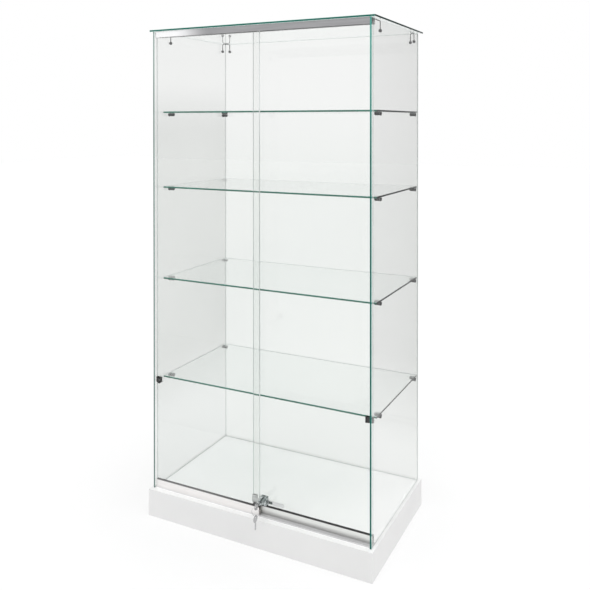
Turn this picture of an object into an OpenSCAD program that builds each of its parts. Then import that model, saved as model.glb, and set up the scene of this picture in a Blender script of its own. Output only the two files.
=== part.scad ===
/* [Case] */
// Width of the plinth
case_w = 900; // [700:10:1200]
// Depth of the plinth
case_d = 500; // [420:10:640]
// Height from the floor to the top of the top panel
case_h = 1810; // [1650:10:2000]
// Height of the plinth
plinth_h = 98; // [85:1:150]
// Thickness of the plinth boards
board_t = 18; // [15:1:22]

/* [Glass] */
// Thickness of every glass panel
glass_t = 6; // [5:0.5:8]
// Plinth ledge beside each side panel
side_inset = 10; // [6:1:20]
// Plinth ledge in front of the side panels
front_inset = 16; // [8:1:30]
// Plinth ledge behind the back panel
back_inset = 14; // [8:1:30]
// Overhang of the top panel past each side panel
top_over_side = 14; // [4:1:25]
// Overhang of the top panel past the side panels' front edges
top_over_front = 3; // [0:1:20]
// Overhang of the top panel past the back panel
top_over_back = 16; // [4:1:25]

/* [Shelves] */
// Height of the lowest shelf's underside above the deck
shelf_1_h = 399; // [340:1:440]
// Height of the second shelf's underside above the deck
shelf_2_h = 773; // [700:1:820]
// Height of the third shelf's underside above the deck
shelf_3_h = 1119; // [1050:1:1160]
// Height of the highest shelf's underside above the deck
shelf_4_h = 1403; // [1340:1:1440]
// Distance from the side panels' front edges to the shelves
shelf_setback = 52; // [45:1:70]
// Gap between a shelf's end and the side panel
shelf_side_gap = 1; // [0.5:0.1:2]
// Gap between a shelf and the back panel
shelf_back_gap = 2; // [0.5:0.1:4]

/* [Shelf supports] */
// Length of a support from the side panel
support_l = 22; // [16:0.5:26]
// Radius of a support's round underside
support_r = 7; // [5:0.5:8]
// Height of a support's flat top above its axis
support_flat = 4; // [3:0.5:4.5]
// Radius of the flange bonded to the side panel
flange_r = 8; // [7:0.5:10]
// Thickness of that flange
flange_t = 3; // [2:0.5:4]
// Thickness of the clear pad on a support
pad_t = 1; // [0.5:0.1:1.5]
// Distance from a pad's end to the support's end
pad_end = 1; // [0:0.5:3]
// Width of the clear pad
pad_w = 9; // [6:0.5:10]
// Distance from the side panels' front edges to the front supports
support_front = 88; // [75:1:130]
// Distance from the back panel to the back supports
support_back = 20; // [16:1:60]

/* [Corner clips] */
// Radius of the clip wire
wire_r = 1.5; // [0.8:0.1:1.8]
// Radius of the bend in the clip wire
wire_bend_r = 6; // [4:0.5:9]
// Radius of a bonded pad
clip_pad_r = 6; // [4:0.5:7]
// Depth of the flat on a bonded pad
clip_pad_cut = 1.5; // [1:0.1:2]
// Depth that the wire runs into a bonded pad
leg_seat = 1; // [0.5:0.1:2]
// Gap between the wire and the top panel
clip_gap = 0.3; // [0.2:0.1:1]
// Distance of a pad's middle below the wire's run
clip_drop = 32; // [24:1:40]
// Distance from a back corner to each of its pads
clip_reach = 26; // [20:1:40]
// Distance of the front clips' pads behind the top channel
front_clip_reach = 58; // [40:1:80]

/* [Door tracks] */
// Distance from the side panels' front edges to the tracks
track_setback = 4.5; // [3:0.5:10]
// Inside width of one lane of a track
lane_w = 12.8; // [12.6:0.1:14]
// Thickness of the tracks' walls
track_wall = 1.2; // [1:0.1:1.6]
// Thickness of the tracks' webs
track_web = 1.5; // [1.2:0.1:2]
// Height of the bottom track's lips above the deck
lip_h = 4.5; // [4:0.5:6]
// Height of the rail that the rollers run on, above the bottom web
rail_h = 3; // [2:0.1:3.5]
// Width of that rail
rail_w = 2; // [1.5:0.1:2.4]
// Height of the top channel with its tape
channel_h = 22; // [20:1:28]
// Thickness of the tape that holds the top channel
tape_t = 0.8; // [0.5:0.1:1.2]
// Width of the channel's back beside the tape
tape_edge = 1; // [0.5:0.5:4]
// Gap between the tracks' ends and the side panels
track_end_gap = 0.5; // [0.3:0.1:1]
// Distance from the bottom track's ends to its first screws
track_screw_end = 40; // [20:5:100]
// Length of the bottom track's screws
track_screw_l = 16; // [12:1:17]
// Radius of those screws' shanks
track_screw_r = 1.3; // [1:0.1:1.6]
// Radius of those screws' heads
track_head_r = 2.4; // [2:0.1:2.6]
// Number of screws in the bottom track
track_screws = 5; // [3:1:7]
// Web that is left under the heads of those screws
track_head_sole = 0.2; // [0.1:0.05:0.4]

/* [Doors] */
// Overlap of the two closed doors
door_overlap = 33; // [25:1:50]
// Gap between a closed door's pane and the side panel
door_end_gap = 3; // [3:0.5:6]
// Length of the pane that stands in the top channel
door_engage = 12; // [9:1:14]
// Width of the shoe along a door's lower edge
shoe_w = 11.4; // [11:0.1:11.8]
// Height of the shoe
shoe_h = 26.5; // [25:0.5:32]
// Thickness of the shoe's walls
shoe_wall = 1.2; // [1:0.1:1.4]
// Gap between the shoe and the bottom track's web
shoe_lift = 1.5; // [1:0.1:2]
// Depth of the shoe's upper groove
shoe_groove = 11; // [9:0.5:12]
// Thickness of the gasket under the pane
gasket_t = 1.5; // [1:0.1:2]
// Height of the gasket's bead above the shoe
bead_h = 3; // [2:0.5:5]
// Width of the shoe's edge beside the bead
bead_step = 0.5; // [0.2:0.1:1]
// Distance from the shoe's end to a roller's axle
roller_inset = 45; // [30:1:80]
// Running radius of a roller
roller_r = 5.5; // [5:0.1:5.6]
// Height of a roller's flanges above its running groove
roller_flange = 1.2; // [0.8:0.1:1.3]
// Width of a roller
roller_w = 5; // [4:0.1:5.4]
// Radius of a roller's axle
axle_r = 1.5; // [1:0.1:2]
// Length of a roller housing
housing_l = 30; // [22:1:40]
// Height of a housing's underside above the shoe's underside
housing_lift = 2; // [1:0.1:3]
// Gap between a housing and the shoe's walls
housing_gap = 0.1; // [0.05:0.05:0.2]
// Length of a top guide
guide_l = 24; // [15:1:40]
// Height of a guide's underside above the channel's lower edge
guide_lift = 2; // [1:0.5:5]
// Height of the guide's roof above the pane
guide_roof = 2.5; // [1.5:0.5:3]

/* [Finger pulls] */
// Height of the pulls' middle above the deck
pull_z = 405; // [300:1:1100]
// Height of a pull
pull_h = 20; // [15:1:60]
// Length of a pull across the pane
pull_l = 22; // [16:1:30]
// Thickness of a pull's walls
pull_wall = 2; // [1.5:0.1:2.4]
// How far the outer door's pull stands out
outer_ridge = 10; // [3:0.5:14]
// How far the inner door's pull stands out
inner_ridge = 4; // [2:0.5:5]
// Thickness of the ridge on a pull
ridge_t = 3; // [2:0.5:5]

/* [Lock] */
// Height of the ratchet bar's middle above the deck
bar_z = 49; // [46:1:80]
// Height of the ratchet bar
bar_h = 13; // [10:0.5:13.5]
// Thickness of the ratchet bar
bar_t = 2; // [1.5:0.1:2.2]
// Length of the ratchet bar past the inner door's edge
bar_l = 126; // [120:1:160]
// Thickness of the hook round the inner door's edge
hook_t = 2; // [1.6:0.1:2.2]
// Length of the hook along the pane
hook_l = 16; // [10:1:24]
// Height of the hook
hook_h = 26; // [16:1:30]
// Spacing of the bar's teeth
tooth_pitch = 3; // [2:0.5:5]
// Depth of the bar's teeth
tooth_d = 0.8; // [0.4:0.1:1.5]
// Width of a tooth's gap at the bar's edge
tooth_gap = 2.4; // [1.5:0.1:2.8]
// Number of the bar's teeth
teeth = 13; // [5:1:16]
// Distance from the last tooth to the bar's end
tooth_end = 2; // [1:0.5:6]
// Distance from the inner door's edge to the bar's inlay
inlay_x = 64; // [62:1:72]
// Length of the inlay
inlay_l = 15; // [8:1:15]
// Height of the inlay
inlay_h = 8; // [5:0.5:9]
// Width of the lock case
lock_w = 27; // [22:1:30]
// Height of the lock case
lock_h = 30; // [30:1:36]
// Height of the lock case below the ratchet bar
lock_sole = 4; // [3:0.5:6]
// Depth of the lock case in front of the ratchet bar
lock_d = 11; // [8:0.5:16]
// Gap between the lock case and the closed outer door
lock_gap = 1.5; // [0.5:0.1:3]
// Height of the lock's barrel above the ratchet bar's middle
barrel_rise = 10; // [9:0.5:12]
// Radius of the lock's barrel
barrel_r = 9; // [8.5:0.1:10.5]
// Length of the barrel in front of the lock case
barrel_l = 18; // [10:0.5:20]
// Radius of the plug
plug_r = 7.5; // [6:0.1:8]
// Length of the plug
plug_l = 18; // [17:0.5:22]
// Height of the plug's face in front of the barrel
plug_proud = 0.5; // [0.2:0.1:2]

/* [Keys] */
// Thickness of a key
key_t = 1.8; // [1.4:0.1:2.2]
// Width of a key's blade
blade_w = 6; // [5:0.1:7]
// Length of a key's blade
blade_l = 27; // [20:0.5:30]
// Length of the blade that stays outside the plug
blade_out = 14; // [8:0.5:16]
// Radius of a key's bow
bow_r = 12; // [10.5:0.5:13]
// Radius of the hole in a bow
bow_hole_r = 3.4; // [2.6:0.1:4]
// Distance from the bow's middle to its hole
bow_hole_off = 6; // [5:0.1:6.5]
// Radius of the split ring's middle line
ring_r = 14.5; // [11:0.5:20]
// Radius of the ring's wire
ring_wire_r = 0.7; // [0.5:0.1:1]
// Depth that a key's blade runs into its bow
blade_root = 1; // [0.5:0.5:2]
// Number of notches in a key's blade
notches = 5; // [3:1:6]
// Spacing of the notches
notch_pitch = 2.4; // [1.5:0.1:2.4]
// Depth of the notches
notch_d = 0.8; // [0.4:0.1:1.2]

/* [Plinth hardware] */
// Size of the square cleats under the deck
cleat = 20; // [15:1:25]
// Distance from a cleat's end to its screw
deck_screw_end = 60; // [20:5:90]
// Size of the square corner blocks
block = 40; // [36:1:50]
// Distance from a corner block's outer faces to its screws
corner_screw_in = 8; // [7:0.5:9]
// Height of a corner block's lowest screw above the block's underside
corner_screw_low = 28; // [16:1:30]
// Spacing of a corner block's screws
corner_screw_pitch = 20; // [18:1:22]
// Height of the corner blocks above the floor
block_lift = 14; // [12:1:20]
// Radius of a levelling foot's pad
foot_r = 14; // [10:1:18]
// Height of a levelling foot's pad
foot_h = 6; // [4:0.5:9]
// Radius of a levelling foot's stud
stud_r = 4; // [3:0.5:5]
// Length of a levelling foot's stud
stud_l = 40; // [30:1:55]
// Wall of the threaded insert round the stud
insert_wall = 1.5; // [1:0.1:2.5]
// Width of the insert's rim under the corner block
insert_rim = 3.5; // [2:0.5:5]
// Thickness of that rim
insert_flange_t = 1.5; // [1:0.1:2]
// Length of the insert in the corner block
insert_l = 11; // [8:0.5:16]
// Chamfer of a foot pad's rim
foot_rim = 1.5; // [0.5:0.1:1.9]
// Radius of a wood screw's shank
screw_r = 2; // [1.5:0.1:2.5]
// Radius of a wood screw's head
head_r = 4; // [3.5:0.1:5]
// Height of a wood screw's head
head_h = 2.5; // [2:0.1:3]
// Grip of a wood screw in the second piece
screw_grip = 11; // [8:0.5:14]

/* [Clearances] */
// Radial clearance of a shaft that turns
running = 0.05; // [0.02:0.01:0.1]
// Gap between sliding pieces of the lock
sliding = 0.3; // [0.2:0.05:0.4]
// Gap between a roller and its rail
rolling = 0.2; // [0.1:0.05:0.3]
// Gap between the key ring and the edge of a hole
ring_play = 0.45; // [0.3:0.05:0.6]
// Gap between a roller's rim and the ends of its housing
roller_end = 1; // [0.5:0.1:2]
// Gap beside a roller in its housing
roller_side = 0.3; // [0.2:0.05:0.4]
// Radial clearance of a foot's stud in its corner block
stud_play = 0.2; // [0.1:0.05:0.4]

/* [Hidden] */

// Fine enough for smooth rounds, and small ones need fewer sides
$fn = 48;
small_fn = 24;
// Cuts reach this far past a face so that they open cleanly
cut = 1;
// Small cuts reach less far, so that they keep their width at the edge
small_cut = 0.1;

// Levels and faces of the case
under_top = case_h - glass_t;
side_in = case_w / 2 - side_inset - glass_t;
side_out = side_in + glass_t;
front_y = -case_d / 2 + front_inset;
back_out = case_d / 2 - back_inset;
back_in = back_out - glass_t;
board_in_x = case_w / 2 - board_t;
board_in_y = case_d / 2 - board_t;
under_deck = plinth_h - board_t;
shelf_heights = [shelf_1_h, shelf_2_h, shelf_3_h, shelf_4_h];
shelf_front = front_y + shelf_setback;
shelf_back = back_in - shelf_back_gap;
shelf_half = side_in - shelf_side_gap;
support_ys = [front_y + support_front, back_in - support_back];

// Tracks, with lane 0 in front for the outer door and lane 1 behind it
track_y = front_y + track_setback;
track_half = side_in - track_end_gap;
lane_pitch = lane_w + track_wall;
track_w = 2 * lane_w + 3 * track_wall;
track_back = track_y + track_w;
channel_low = under_top - channel_h;
channel_top = under_top - tape_t;

// Doors, drawn with the outer one on the left
door_edge = side_in - door_end_gap;
door_in = door_overlap / 2;
shoe_low = plinth_h + track_web + shoe_lift;
shoe_top = shoe_low + shoe_h;
groove_low = shoe_top - shoe_groove;
pane_low = groove_low + gasket_t;
pane_top = channel_low + door_engage;
rail_top = plinth_h + track_web + rail_h;
axle_z = rail_top + rolling + roller_r;
housing_w = shoe_w - 2 * shoe_wall - 2 * housing_gap;
roller_slot = roller_w + 2 * roller_side;
housing_low = shoe_low + housing_lift;

// Lock, whose bar stands off the inner pane by the hook's thickness
pane_half = glass_t / 2;
inner_face = lane_y(1) - pane_half;
bar_back = inner_face - hook_t;
bar_front = bar_back - bar_t;
bar_mid = plinth_h + bar_z;
lock_left = door_in + lock_gap;
lock_mid = lock_left + lock_w / 2;
lock_back = inner_face - sliding;
case_front = bar_front - lock_d;
barrel_front = case_front - barrel_l;
case_low = bar_mid - bar_h / 2 - lock_sole;
axis_z = bar_mid + barrel_rise;
plug_front = barrel_front - plug_proud;
bow_y = plug_front - blade_out - bow_r + blade_root;
hole_y = bow_y - bow_hole_off;
// The ring's wire lies just off the edge of each hole
ring_seat = ring_wire_r + ring_play;
ring_top = axis_z - bow_hole_r + ring_seat;
ring_mid = ring_top - ring_r;
spare_hole_z = ring_mid - ring_r - bow_hole_r + ring_seat;

// Clips, whose pads are balls cut flat where they are bonded to the glass
clip_z = under_top - wire_r - clip_gap;
pad_off = clip_pad_r - clip_pad_cut;
corner_run = sqrt(2) * (clip_reach - pad_off);
front_leg_y = track_back + front_clip_reach;
leg_end = clip_pad_r - leg_seat;

// Plinth hardware
stud_bore = stud_r + stud_play;
insert_r = stud_r + insert_wall;
insert_flange_r = insert_r + insert_rim;
block_mid_x = board_in_x - block / 2;
block_mid_y = board_in_y - block / 2;
foot_places = [for (sx = [-1, 1], sy = [-1, 1]) [sx * block_mid_x, sy * block_mid_y]];

function lane_y(lane) = track_y + track_wall + lane_w / 2 + lane * lane_pitch;

// A box from its lowest to its highest corner
module span(lo, hi) {
    translate(lo) cube(hi - lo);
}

// A screw whose head is sunk below z = 0 and whose shank points up
module screw(grip_l, r = screw_r, hr = head_r, hh = head_h) {
    rotate_extrude($fn = small_fn)
        polygon([[0, 0], [hr, 0], [r, hh], [r, grip_l - r], [0, grip_l]]);
}

// Places of the screws through the corner blocks, with the direction that each points in
module corner_screw_set() {
    for (sx = [-1, 1], sy = [-1, 1], i = [0, 1]) {
        low = block_lift + corner_screw_low + i * corner_screw_pitch;
        translate([sx * (board_in_x - corner_screw_in), sy * (board_in_y - block), low])
            rotate([-sy * 90, 0, 0]) screw(block + screw_grip);
        translate([sx * (board_in_x - block), sy * (board_in_y - corner_screw_in), low + head_r * 2])
            rotate([0, sx * 90, 0]) screw(block + screw_grip);
    }
}

module deck_screw_set() {
    low = under_deck - cleat;
    side_l = board_in_y - block;
    for (sx = [-1, 1], sy = [-1, 1]) {
        for (x = [board_t / 2 + deck_screw_end, board_in_x - block - deck_screw_end])
            translate([sx * x, sy * (board_in_y - cleat / 2), low]) screw(cleat + screw_grip);
        translate([sx * (board_in_x - cleat / 2), sy * (side_l - deck_screw_end), low])
            screw(cleat + screw_grip);
    }
}

module track_screw_set() {
    reach = track_half - track_screw_end;
    for (i = [0 : track_screws - 1])
        translate([-reach + 2 * reach * i / (track_screws - 1),
                   lane_y(1) + lane_w / 4 + rail_w / 4, plinth_h + track_web])
            rotate([180, 0, 0])
                screw(track_screw_l, track_screw_r, track_head_r, track_web - track_head_sole);
}

module cleat_set() {
    top = under_deck;
    half_w = board_t / 2;
    for (sx = [-1, 1], sy = [-1, 1]) {
        x0 = sx * half_w;
        x1 = sx * (board_in_x - block);
        y0 = sy * board_in_y;
        y1 = sy * (board_in_y - cleat);
        span([min(x0, x1), min(y0, y1), top - cleat], [max(x0, x1), max(y0, y1), top]);
    }
    for (sx = [-1, 1]) {
        x0 = sx * board_in_x;
        x1 = sx * (board_in_x - cleat);
        side_l = board_in_y - block;
        span([min(x0, x1), -side_l, top - cleat], [max(x0, x1), side_l, top]);
    }
}

module plinth_end_board(side) {
    color("whitesmoke") difference() {
        y0 = side * case_d / 2;
        y1 = side * board_in_y;
        span([-case_w / 2, min(y0, y1), 0], [case_w / 2, max(y0, y1), plinth_h]);
        corner_screw_set();
    }
}

module plinth_side_board(side) {
    color("whitesmoke") difference() {
        x0 = side * case_w / 2;
        x1 = side * board_in_x;
        span([min(x0, x1), -board_in_y, 0], [max(x0, x1), board_in_y, plinth_h]);
        corner_screw_set();
    }
}

module plinth_deck() {
    color("white") difference() {
        span([-board_in_x, -board_in_y, under_deck], [board_in_x, board_in_y, plinth_h]);
        deck_screw_set();
        track_screw_set();
    }
}

module plinth_stretcher() {
    color("burlywood")
        span([-board_t / 2, -board_in_y, 0], [board_t / 2, board_in_y, under_deck]);
}

module plinth_cleats() {
    color("burlywood") difference() {
        cleat_set();
        deck_screw_set();
    }
}

module plinth_corner_blocks() {
    color("burlywood") difference() {
        for (p = foot_places)
            translate([p[0] - block / 2, p[1] - block / 2, block_lift])
                cube([block, block, under_deck - block_lift]);
        corner_screw_set();
        for (p = foot_places) translate([p[0], p[1], 0]) {
            cylinder(r = stud_bore, h = foot_h / 2 + stud_l + cut);
            cylinder(r = insert_r, h = block_lift + insert_l);
        }
    }
}

module corner_screws() {
    color("silver") corner_screw_set();
}

module deck_screws() {
    color("silver") deck_screw_set();
}

// Foot pad with a chamfered rim
module leveller_pads() {
    rim = foot_rim;
    color("dimgray") for (p = foot_places) translate([p[0], p[1], 0])
        difference() {
            rotate_extrude()
                polygon([[0, 0], [foot_r - rim, 0], [foot_r, rim], [foot_r, foot_h - rim],
                         [foot_r - rim, foot_h], [0, foot_h]]);
            translate([0, 0, foot_h / 2]) cylinder(r = stud_r, h = foot_h);
        }
}

module leveller_studs() {
    color("silver") for (p = foot_places)
        translate([p[0], p[1], foot_h / 2]) cylinder(r = stud_r, h = stud_l);
}

module leveller_inserts() {
    color("silver") for (p = foot_places) translate([p[0], p[1], 0])
        difference() {
            union() {
                translate([0, 0, block_lift - insert_flange_t])
                    cylinder(r = insert_flange_r, h = insert_flange_t);
                translate([0, 0, block_lift]) cylinder(r = insert_r, h = insert_l);
            }
            translate([0, 0, block_lift - insert_flange_t - cut])
                cylinder(r = stud_r, h = insert_l + insert_flange_t + 2 * cut);
        }
}

module side_panel(side) {
    x0 = side * side_in;
    x1 = side * side_out;
    color("lightcyan", 0.35)
        span([min(x0, x1), front_y, plinth_h], [max(x0, x1), back_out, under_top]);
}

module back_panel() {
    color("lightcyan", 0.35)
        span([-side_in, back_in, plinth_h], [side_in, back_out, under_top]);
}

module top_panel() {
    x = side_out + top_over_side;
    color("lightcyan", 0.35)
        span([-x, front_y - top_over_front, under_top],
             [x, back_out + top_over_back, case_h]);
}

module shelf(i) {
    z = plinth_h + shelf_heights[i];
    color("lightcyan", 0.35)
        span([-shelf_half, shelf_front, z], [shelf_half, shelf_back, z + glass_t]);
}

// Half-round support, with its axis along X and its flange on the panel at x = 0
module support() {
    top = support_flat;
    intersection() {
        rotate([0, 90, 0]) union() {
            cylinder(r = flange_r, h = flange_t);
            cylinder(r = support_r, h = support_l);
        }
        span([-cut, -flange_r - cut, -flange_r - cut], [support_l + cut, flange_r + cut, top]);
    }
}

module each_support() {
    for (h = shelf_heights, y = support_ys, side = [0, 1])
        mirror([side, 0, 0])
            translate([-side_in, y, plinth_h + h - pad_t - support_flat]) children();
}

module shelf_supports() {
    color("dimgray") each_support() support();
}

module shelf_pads() {
    color("gainsboro") each_support()
        span([flange_t, -pad_w / 2, support_flat],
             [support_l - pad_end, pad_w / 2, support_flat + pad_t]);
}

// Quarter bend in the XZ plane, from the top of an upright leg at x = 0 to a run along +X
module wire_bend() {
    translate([wire_bend_r, 0, -wire_bend_r])
        rotate([90, 0, 0]) rotate([0, 0, 90])
            rotate_extrude(angle = 90)
                translate([wire_bend_r, 0]) circle(r = wire_r, $fn = small_fn);
}

// Upright leg at x = 0 that hangs from the run at z = 0
module wire_leg() {
    translate([0, 0, leg_end - clip_drop])
        cylinder(r = wire_r, h = clip_drop - leg_end - wire_bend_r, $fn = small_fn);
}

module wire_run(from, to) {
    translate([from, 0, 0]) rotate([0, 90, 0]) cylinder(r = wire_r, h = to - from, $fn = small_fn);
}

// The clip of the back left corner, and its mirror image on the right
module back_corner_clips() {
    color("silver") for (side = [0, 1]) mirror([side, 0, 0])
        translate([-side_in + pad_off, back_in - clip_reach, clip_z]) rotate([0, 0, 45]) union() {
            wire_leg();
            wire_bend();
            wire_run(wire_bend_r, corner_run - wire_bend_r);
            translate([corner_run, 0, 0]) mirror([1, 0, 0]) {
                wire_leg();
                wire_bend();
            }
        }
}

// The clip behind the top channel's left end, and its mirror image on the right
module front_corner_clips() {
    color("silver") for (side = [0, 1]) mirror([side, 0, 0])
        translate([-side_in + pad_off, front_leg_y, clip_z - tape_t]) rotate([0, 0, -90]) union() {
            wire_leg();
            wire_bend();
            wire_run(wire_bend_r, front_clip_reach);
        }
}

// Pad with its flat face at x = 0 and a bore on top that takes the wire's leg
module clip_pad() {
    difference() {
        intersection() {
            translate([pad_off, 0, 0]) sphere(r = clip_pad_r);
            span([0, -clip_pad_r, -clip_pad_r], [2 * clip_pad_r, clip_pad_r, clip_pad_r]);
        }
        translate([pad_off, 0, leg_end]) cylinder(r = wire_r, h = clip_pad_r, $fn = small_fn);
    }
}

module clip_pads() {
    z = clip_z - clip_drop;
    color("gray") for (side = [0, 1]) mirror([side, 0, 0]) {
        translate([-side_in, back_in - clip_reach, z]) clip_pad();
        translate([-side_in + clip_reach, back_in, z]) rotate([0, 0, -90]) clip_pad();
        translate([-side_in, front_leg_y, z - tape_t]) clip_pad();
    }
}

module top_channel() {
    color("silver") difference() {
        span([-track_half, track_y, channel_low], [track_half, track_back, channel_top]);
        for (lane = [0, 1])
            span([-track_half - cut, lane_y(lane) - lane_w / 2, channel_low - cut],
                 [track_half + cut, lane_y(lane) + lane_w / 2, channel_top - track_web]);
    }
}

module top_channel_tape() {
    color("white")
        span([-track_half, track_y + tape_edge, channel_top],
             [track_half, track_back - tape_edge, under_top]);
}

module bottom_track() {
    color("silver") difference() {
        union() {
            span([-track_half, track_y, plinth_h], [track_half, track_back, plinth_h + track_web]);
            for (i = [0 : 2])
                span([-track_half, track_y + i * lane_pitch, plinth_h],
                     [track_half, track_y + i * lane_pitch + track_wall, plinth_h + lip_h]);
            for (lane = [0, 1])
                span([-track_half, lane_y(lane) - rail_w / 2, plinth_h],
                     [track_half, lane_y(lane) + rail_w / 2, rail_top]);
        }
        track_screw_set();
    }
}

module bottom_track_screws() {
    color("silver") track_screw_set();
}

// Ends of a door along X: the outer door on the left, the inner one on the right
function door_x0(lane) = lane == 0 ? -door_edge : -door_in;
function door_x1(lane) = lane == 0 ? door_in : door_edge;

module door_glass(lane) {
    y = lane_y(lane);
    color("lightcyan", 0.35)
        span([door_x0(lane), y - pane_half, pane_low], [door_x1(lane), y + pane_half, pane_top]);
}

module door_shoe(lane) {
    y = lane_y(lane);
    half = shoe_w / 2;
    inner = half - shoe_wall;
    color("silver") difference() {
        span([door_x0(lane), y - half, shoe_low], [door_x1(lane), y + half, shoe_top]);
        span([door_x0(lane) - cut, y - inner, groove_low],
             [door_x1(lane) + cut, y + inner, shoe_top + cut]);
        span([door_x0(lane) - cut, y - inner, shoe_low - cut],
             [door_x1(lane) + cut, y + inner, groove_low - shoe_wall]);
    }
}

// U-shaped gasket in the shoe's groove, with a bead on the shoe's edges
module door_gasket(lane) {
    y = lane_y(lane);
    inner = shoe_w / 2 - shoe_wall;
    bead = shoe_w / 2 - bead_step;
    color("black") difference() {
        union() {
            span([door_x0(lane), y - inner, groove_low], [door_x1(lane), y + inner, shoe_top]);
            span([door_x0(lane), y - bead, shoe_top], [door_x1(lane), y + bead, shoe_top + bead_h]);
        }
        span([door_x0(lane) - cut, y - pane_half, pane_low],
             [door_x1(lane) + cut, y + pane_half, shoe_top + bead_h + cut]);
    }
}

// Clip round the outer upright edge of a door, with a ridge for the finger
module door_pull(lane, ridge) {
    y = lane_y(lane);
    side = lane == 0 ? -1 : 1;
    edge = side * door_edge;
    z = plinth_h + pull_z;
    wall = pull_wall;
    x_out = edge + side * wall;
    x_in = x_out - side * pull_l;
    face = y - pane_half - wall;
    color("black") difference() {
        union() {
            span([min(x_in, x_out), face, z - pull_h / 2],
                 [max(x_in, x_out), y + pane_half + wall, z + pull_h / 2]);
            span([min(x_in, x_in + side * ridge_t), face - ridge, z - pull_h / 2],
                 [max(x_in, x_in + side * ridge_t), face, z + pull_h / 2]);
        }
        span([min(x_in - side * cut, edge), y - pane_half, z - pull_h],
             [max(x_in - side * cut, edge), y + pane_half, z + pull_h]);
    }
}

// Caps over the pane's upper edge that keep it in the middle of its lane
module door_guides(lane) {
    y = lane_y(lane);
    low = channel_low + guide_lift;
    color("gainsboro") for (x = [door_x0(lane), door_x1(lane) - guide_l]) difference() {
        span([x, y - shoe_w / 2, low], [x + guide_l, y + shoe_w / 2, pane_top + guide_roof]);
        span([x - cut, y - pane_half, low - cut], [x + guide_l + cut, y + pane_half, pane_top]);
    }
}

function roller_x(lane, i) =
    i == 0 ? door_x0(lane) + roller_inset : door_x1(lane) - roller_inset;

module roller_housings(lane) {
    y = lane_y(lane);
    color("dimgray") for (i = [0, 1]) translate([roller_x(lane, i), y, 0]) difference() {
        span([-housing_l / 2, -housing_w / 2, housing_low],
             [housing_l / 2, housing_w / 2, groove_low - shoe_wall]);
        span([-roller_r - roller_flange - roller_end, -roller_slot / 2, housing_low - cut],
             [roller_r + roller_flange + roller_end, roller_slot / 2, groove_low]);
        translate([0, housing_w, axle_z]) rotate([90, 0, 0])
            cylinder(r = axle_r, h = 2 * housing_w, $fn = small_fn);
    }
}

module roller_axles(lane) {
    color("silver") for (i = [0, 1])
        translate([roller_x(lane, i), lane_y(lane) + housing_w / 2, axle_z])
            rotate([90, 0, 0]) cylinder(r = axle_r, h = housing_w, $fn = small_fn);
}

// Grooved wheel that straddles the rail
module roller(lane, i) {
    half = roller_w / 2;
    groove = rail_w / 2 + roller_side;
    rim = roller_r + roller_flange;
    bore = axle_r + running;
    color("goldenrod") translate([roller_x(lane, i), lane_y(lane), axle_z]) rotate([90, 0, 0])
        rotate_extrude()
            polygon([[bore, -half], [rim, -half], [rim, -groove], [roller_r, -groove],
                     [roller_r, groove], [rim, groove], [rim, half], [bore, half]]);
}

// Hook round the inner door's free edge, with the toothed bar in front of it
module lock_hook_bar() {
    y0 = lane_y(1) - pane_half;
    y1 = lane_y(1) + pane_half;
    x0 = -door_in - hook_t;
    x1 = -door_in + hook_l;
    z0 = bar_mid - hook_h / 2;
    tooth_x = x0 + bar_l - teeth * tooth_pitch - tooth_end;
    color("silver") difference() {
        union() {
            span([x0, y0 - hook_t, z0], [x1, y1 + hook_t, z0 + hook_h]);
            span([x0, bar_front, bar_mid - bar_h / 2], [x0 + bar_l, bar_back, bar_mid + bar_h / 2]);
        }
        span([-door_in, y0, z0 - cut], [x1 + cut, y1, z0 + hook_h + cut]);
        for (i = [0 : teeth - 1])
            translate([tooth_x + i * tooth_pitch, bar_back + cut, bar_mid + bar_h / 2])
                rotate([90, 0, 0]) linear_extrude(bar_t + 2 * cut)
                    polygon([[0, small_cut], [0, -tooth_d], [tooth_gap, small_cut]]);
        inlay_box(cut);
    }
}

module inlay_box(past) {
    x = -door_in + inlay_x;
    span([x, bar_front - past, bar_mid - inlay_h / 2],
         [x + inlay_l, bar_back + past, bar_mid + inlay_h / 2]);
}

module lock_bar_inlay() {
    color("dimgray") inlay_box(0);
}

module lock_case() {
    slot_h = bar_h + 2 * sliding;
    color("silver") difference() {
        union() {
            span([lock_left, case_front, case_low], [lock_left + lock_w, lock_back, case_low + lock_h]);
            translate([lock_mid, case_front, axis_z]) rotate([90, 0, 0])
                cylinder(r = barrel_r, h = barrel_l);
        }
        span([lock_left - cut, bar_front - sliding, bar_mid - slot_h / 2],
             [lock_left + lock_w + cut, bar_back + sliding, bar_mid + slot_h / 2]);
        translate([lock_mid, barrel_front - cut, axis_z]) rotate([-90, 0, 0])
            cylinder(r = plug_r + running, h = plug_l - plug_proud + sliding + cut);
    }
}

module lock_plug() {
    color("silver") difference() {
        translate([lock_mid, plug_front, axis_z]) rotate([-90, 0, 0])
            cylinder(r = plug_r, h = plug_l);
        blade_in = blade_l - blade_out;
        span([lock_mid - key_t / 2, plug_front - cut, axis_z - blade_w / 2],
             [lock_mid + key_t / 2, plug_front + blade_in, axis_z + blade_w / 2]);
    }
}

// Key with its blade along +Y and its bow's middle in the origin
module key() {
    reach = bow_r - blade_root + blade_l;
    difference() {
        union() {
            rotate([0, 90, 0]) cylinder(r = bow_r, h = key_t, center = true);
            span([-key_t / 2, 0, -blade_w / 2], [key_t / 2, reach, blade_w / 2]);
        }
        translate([0, -bow_hole_off, 0]) rotate([0, 90, 0])
            cylinder(r = bow_hole_r, h = key_t + 2 * cut, center = true);
        for (i = [0 : notches - 1])
            translate([0, reach - notch_pitch * (i + 1), -blade_w / 2])
                rotate([45, 0, 0])
                    cube([2 * key_t, sqrt(2) * notch_d, sqrt(2) * notch_d], center = true);
    }
}

module lock_key() {
    color("silver") translate([lock_mid, bow_y, axis_z]) key();
}

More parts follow.
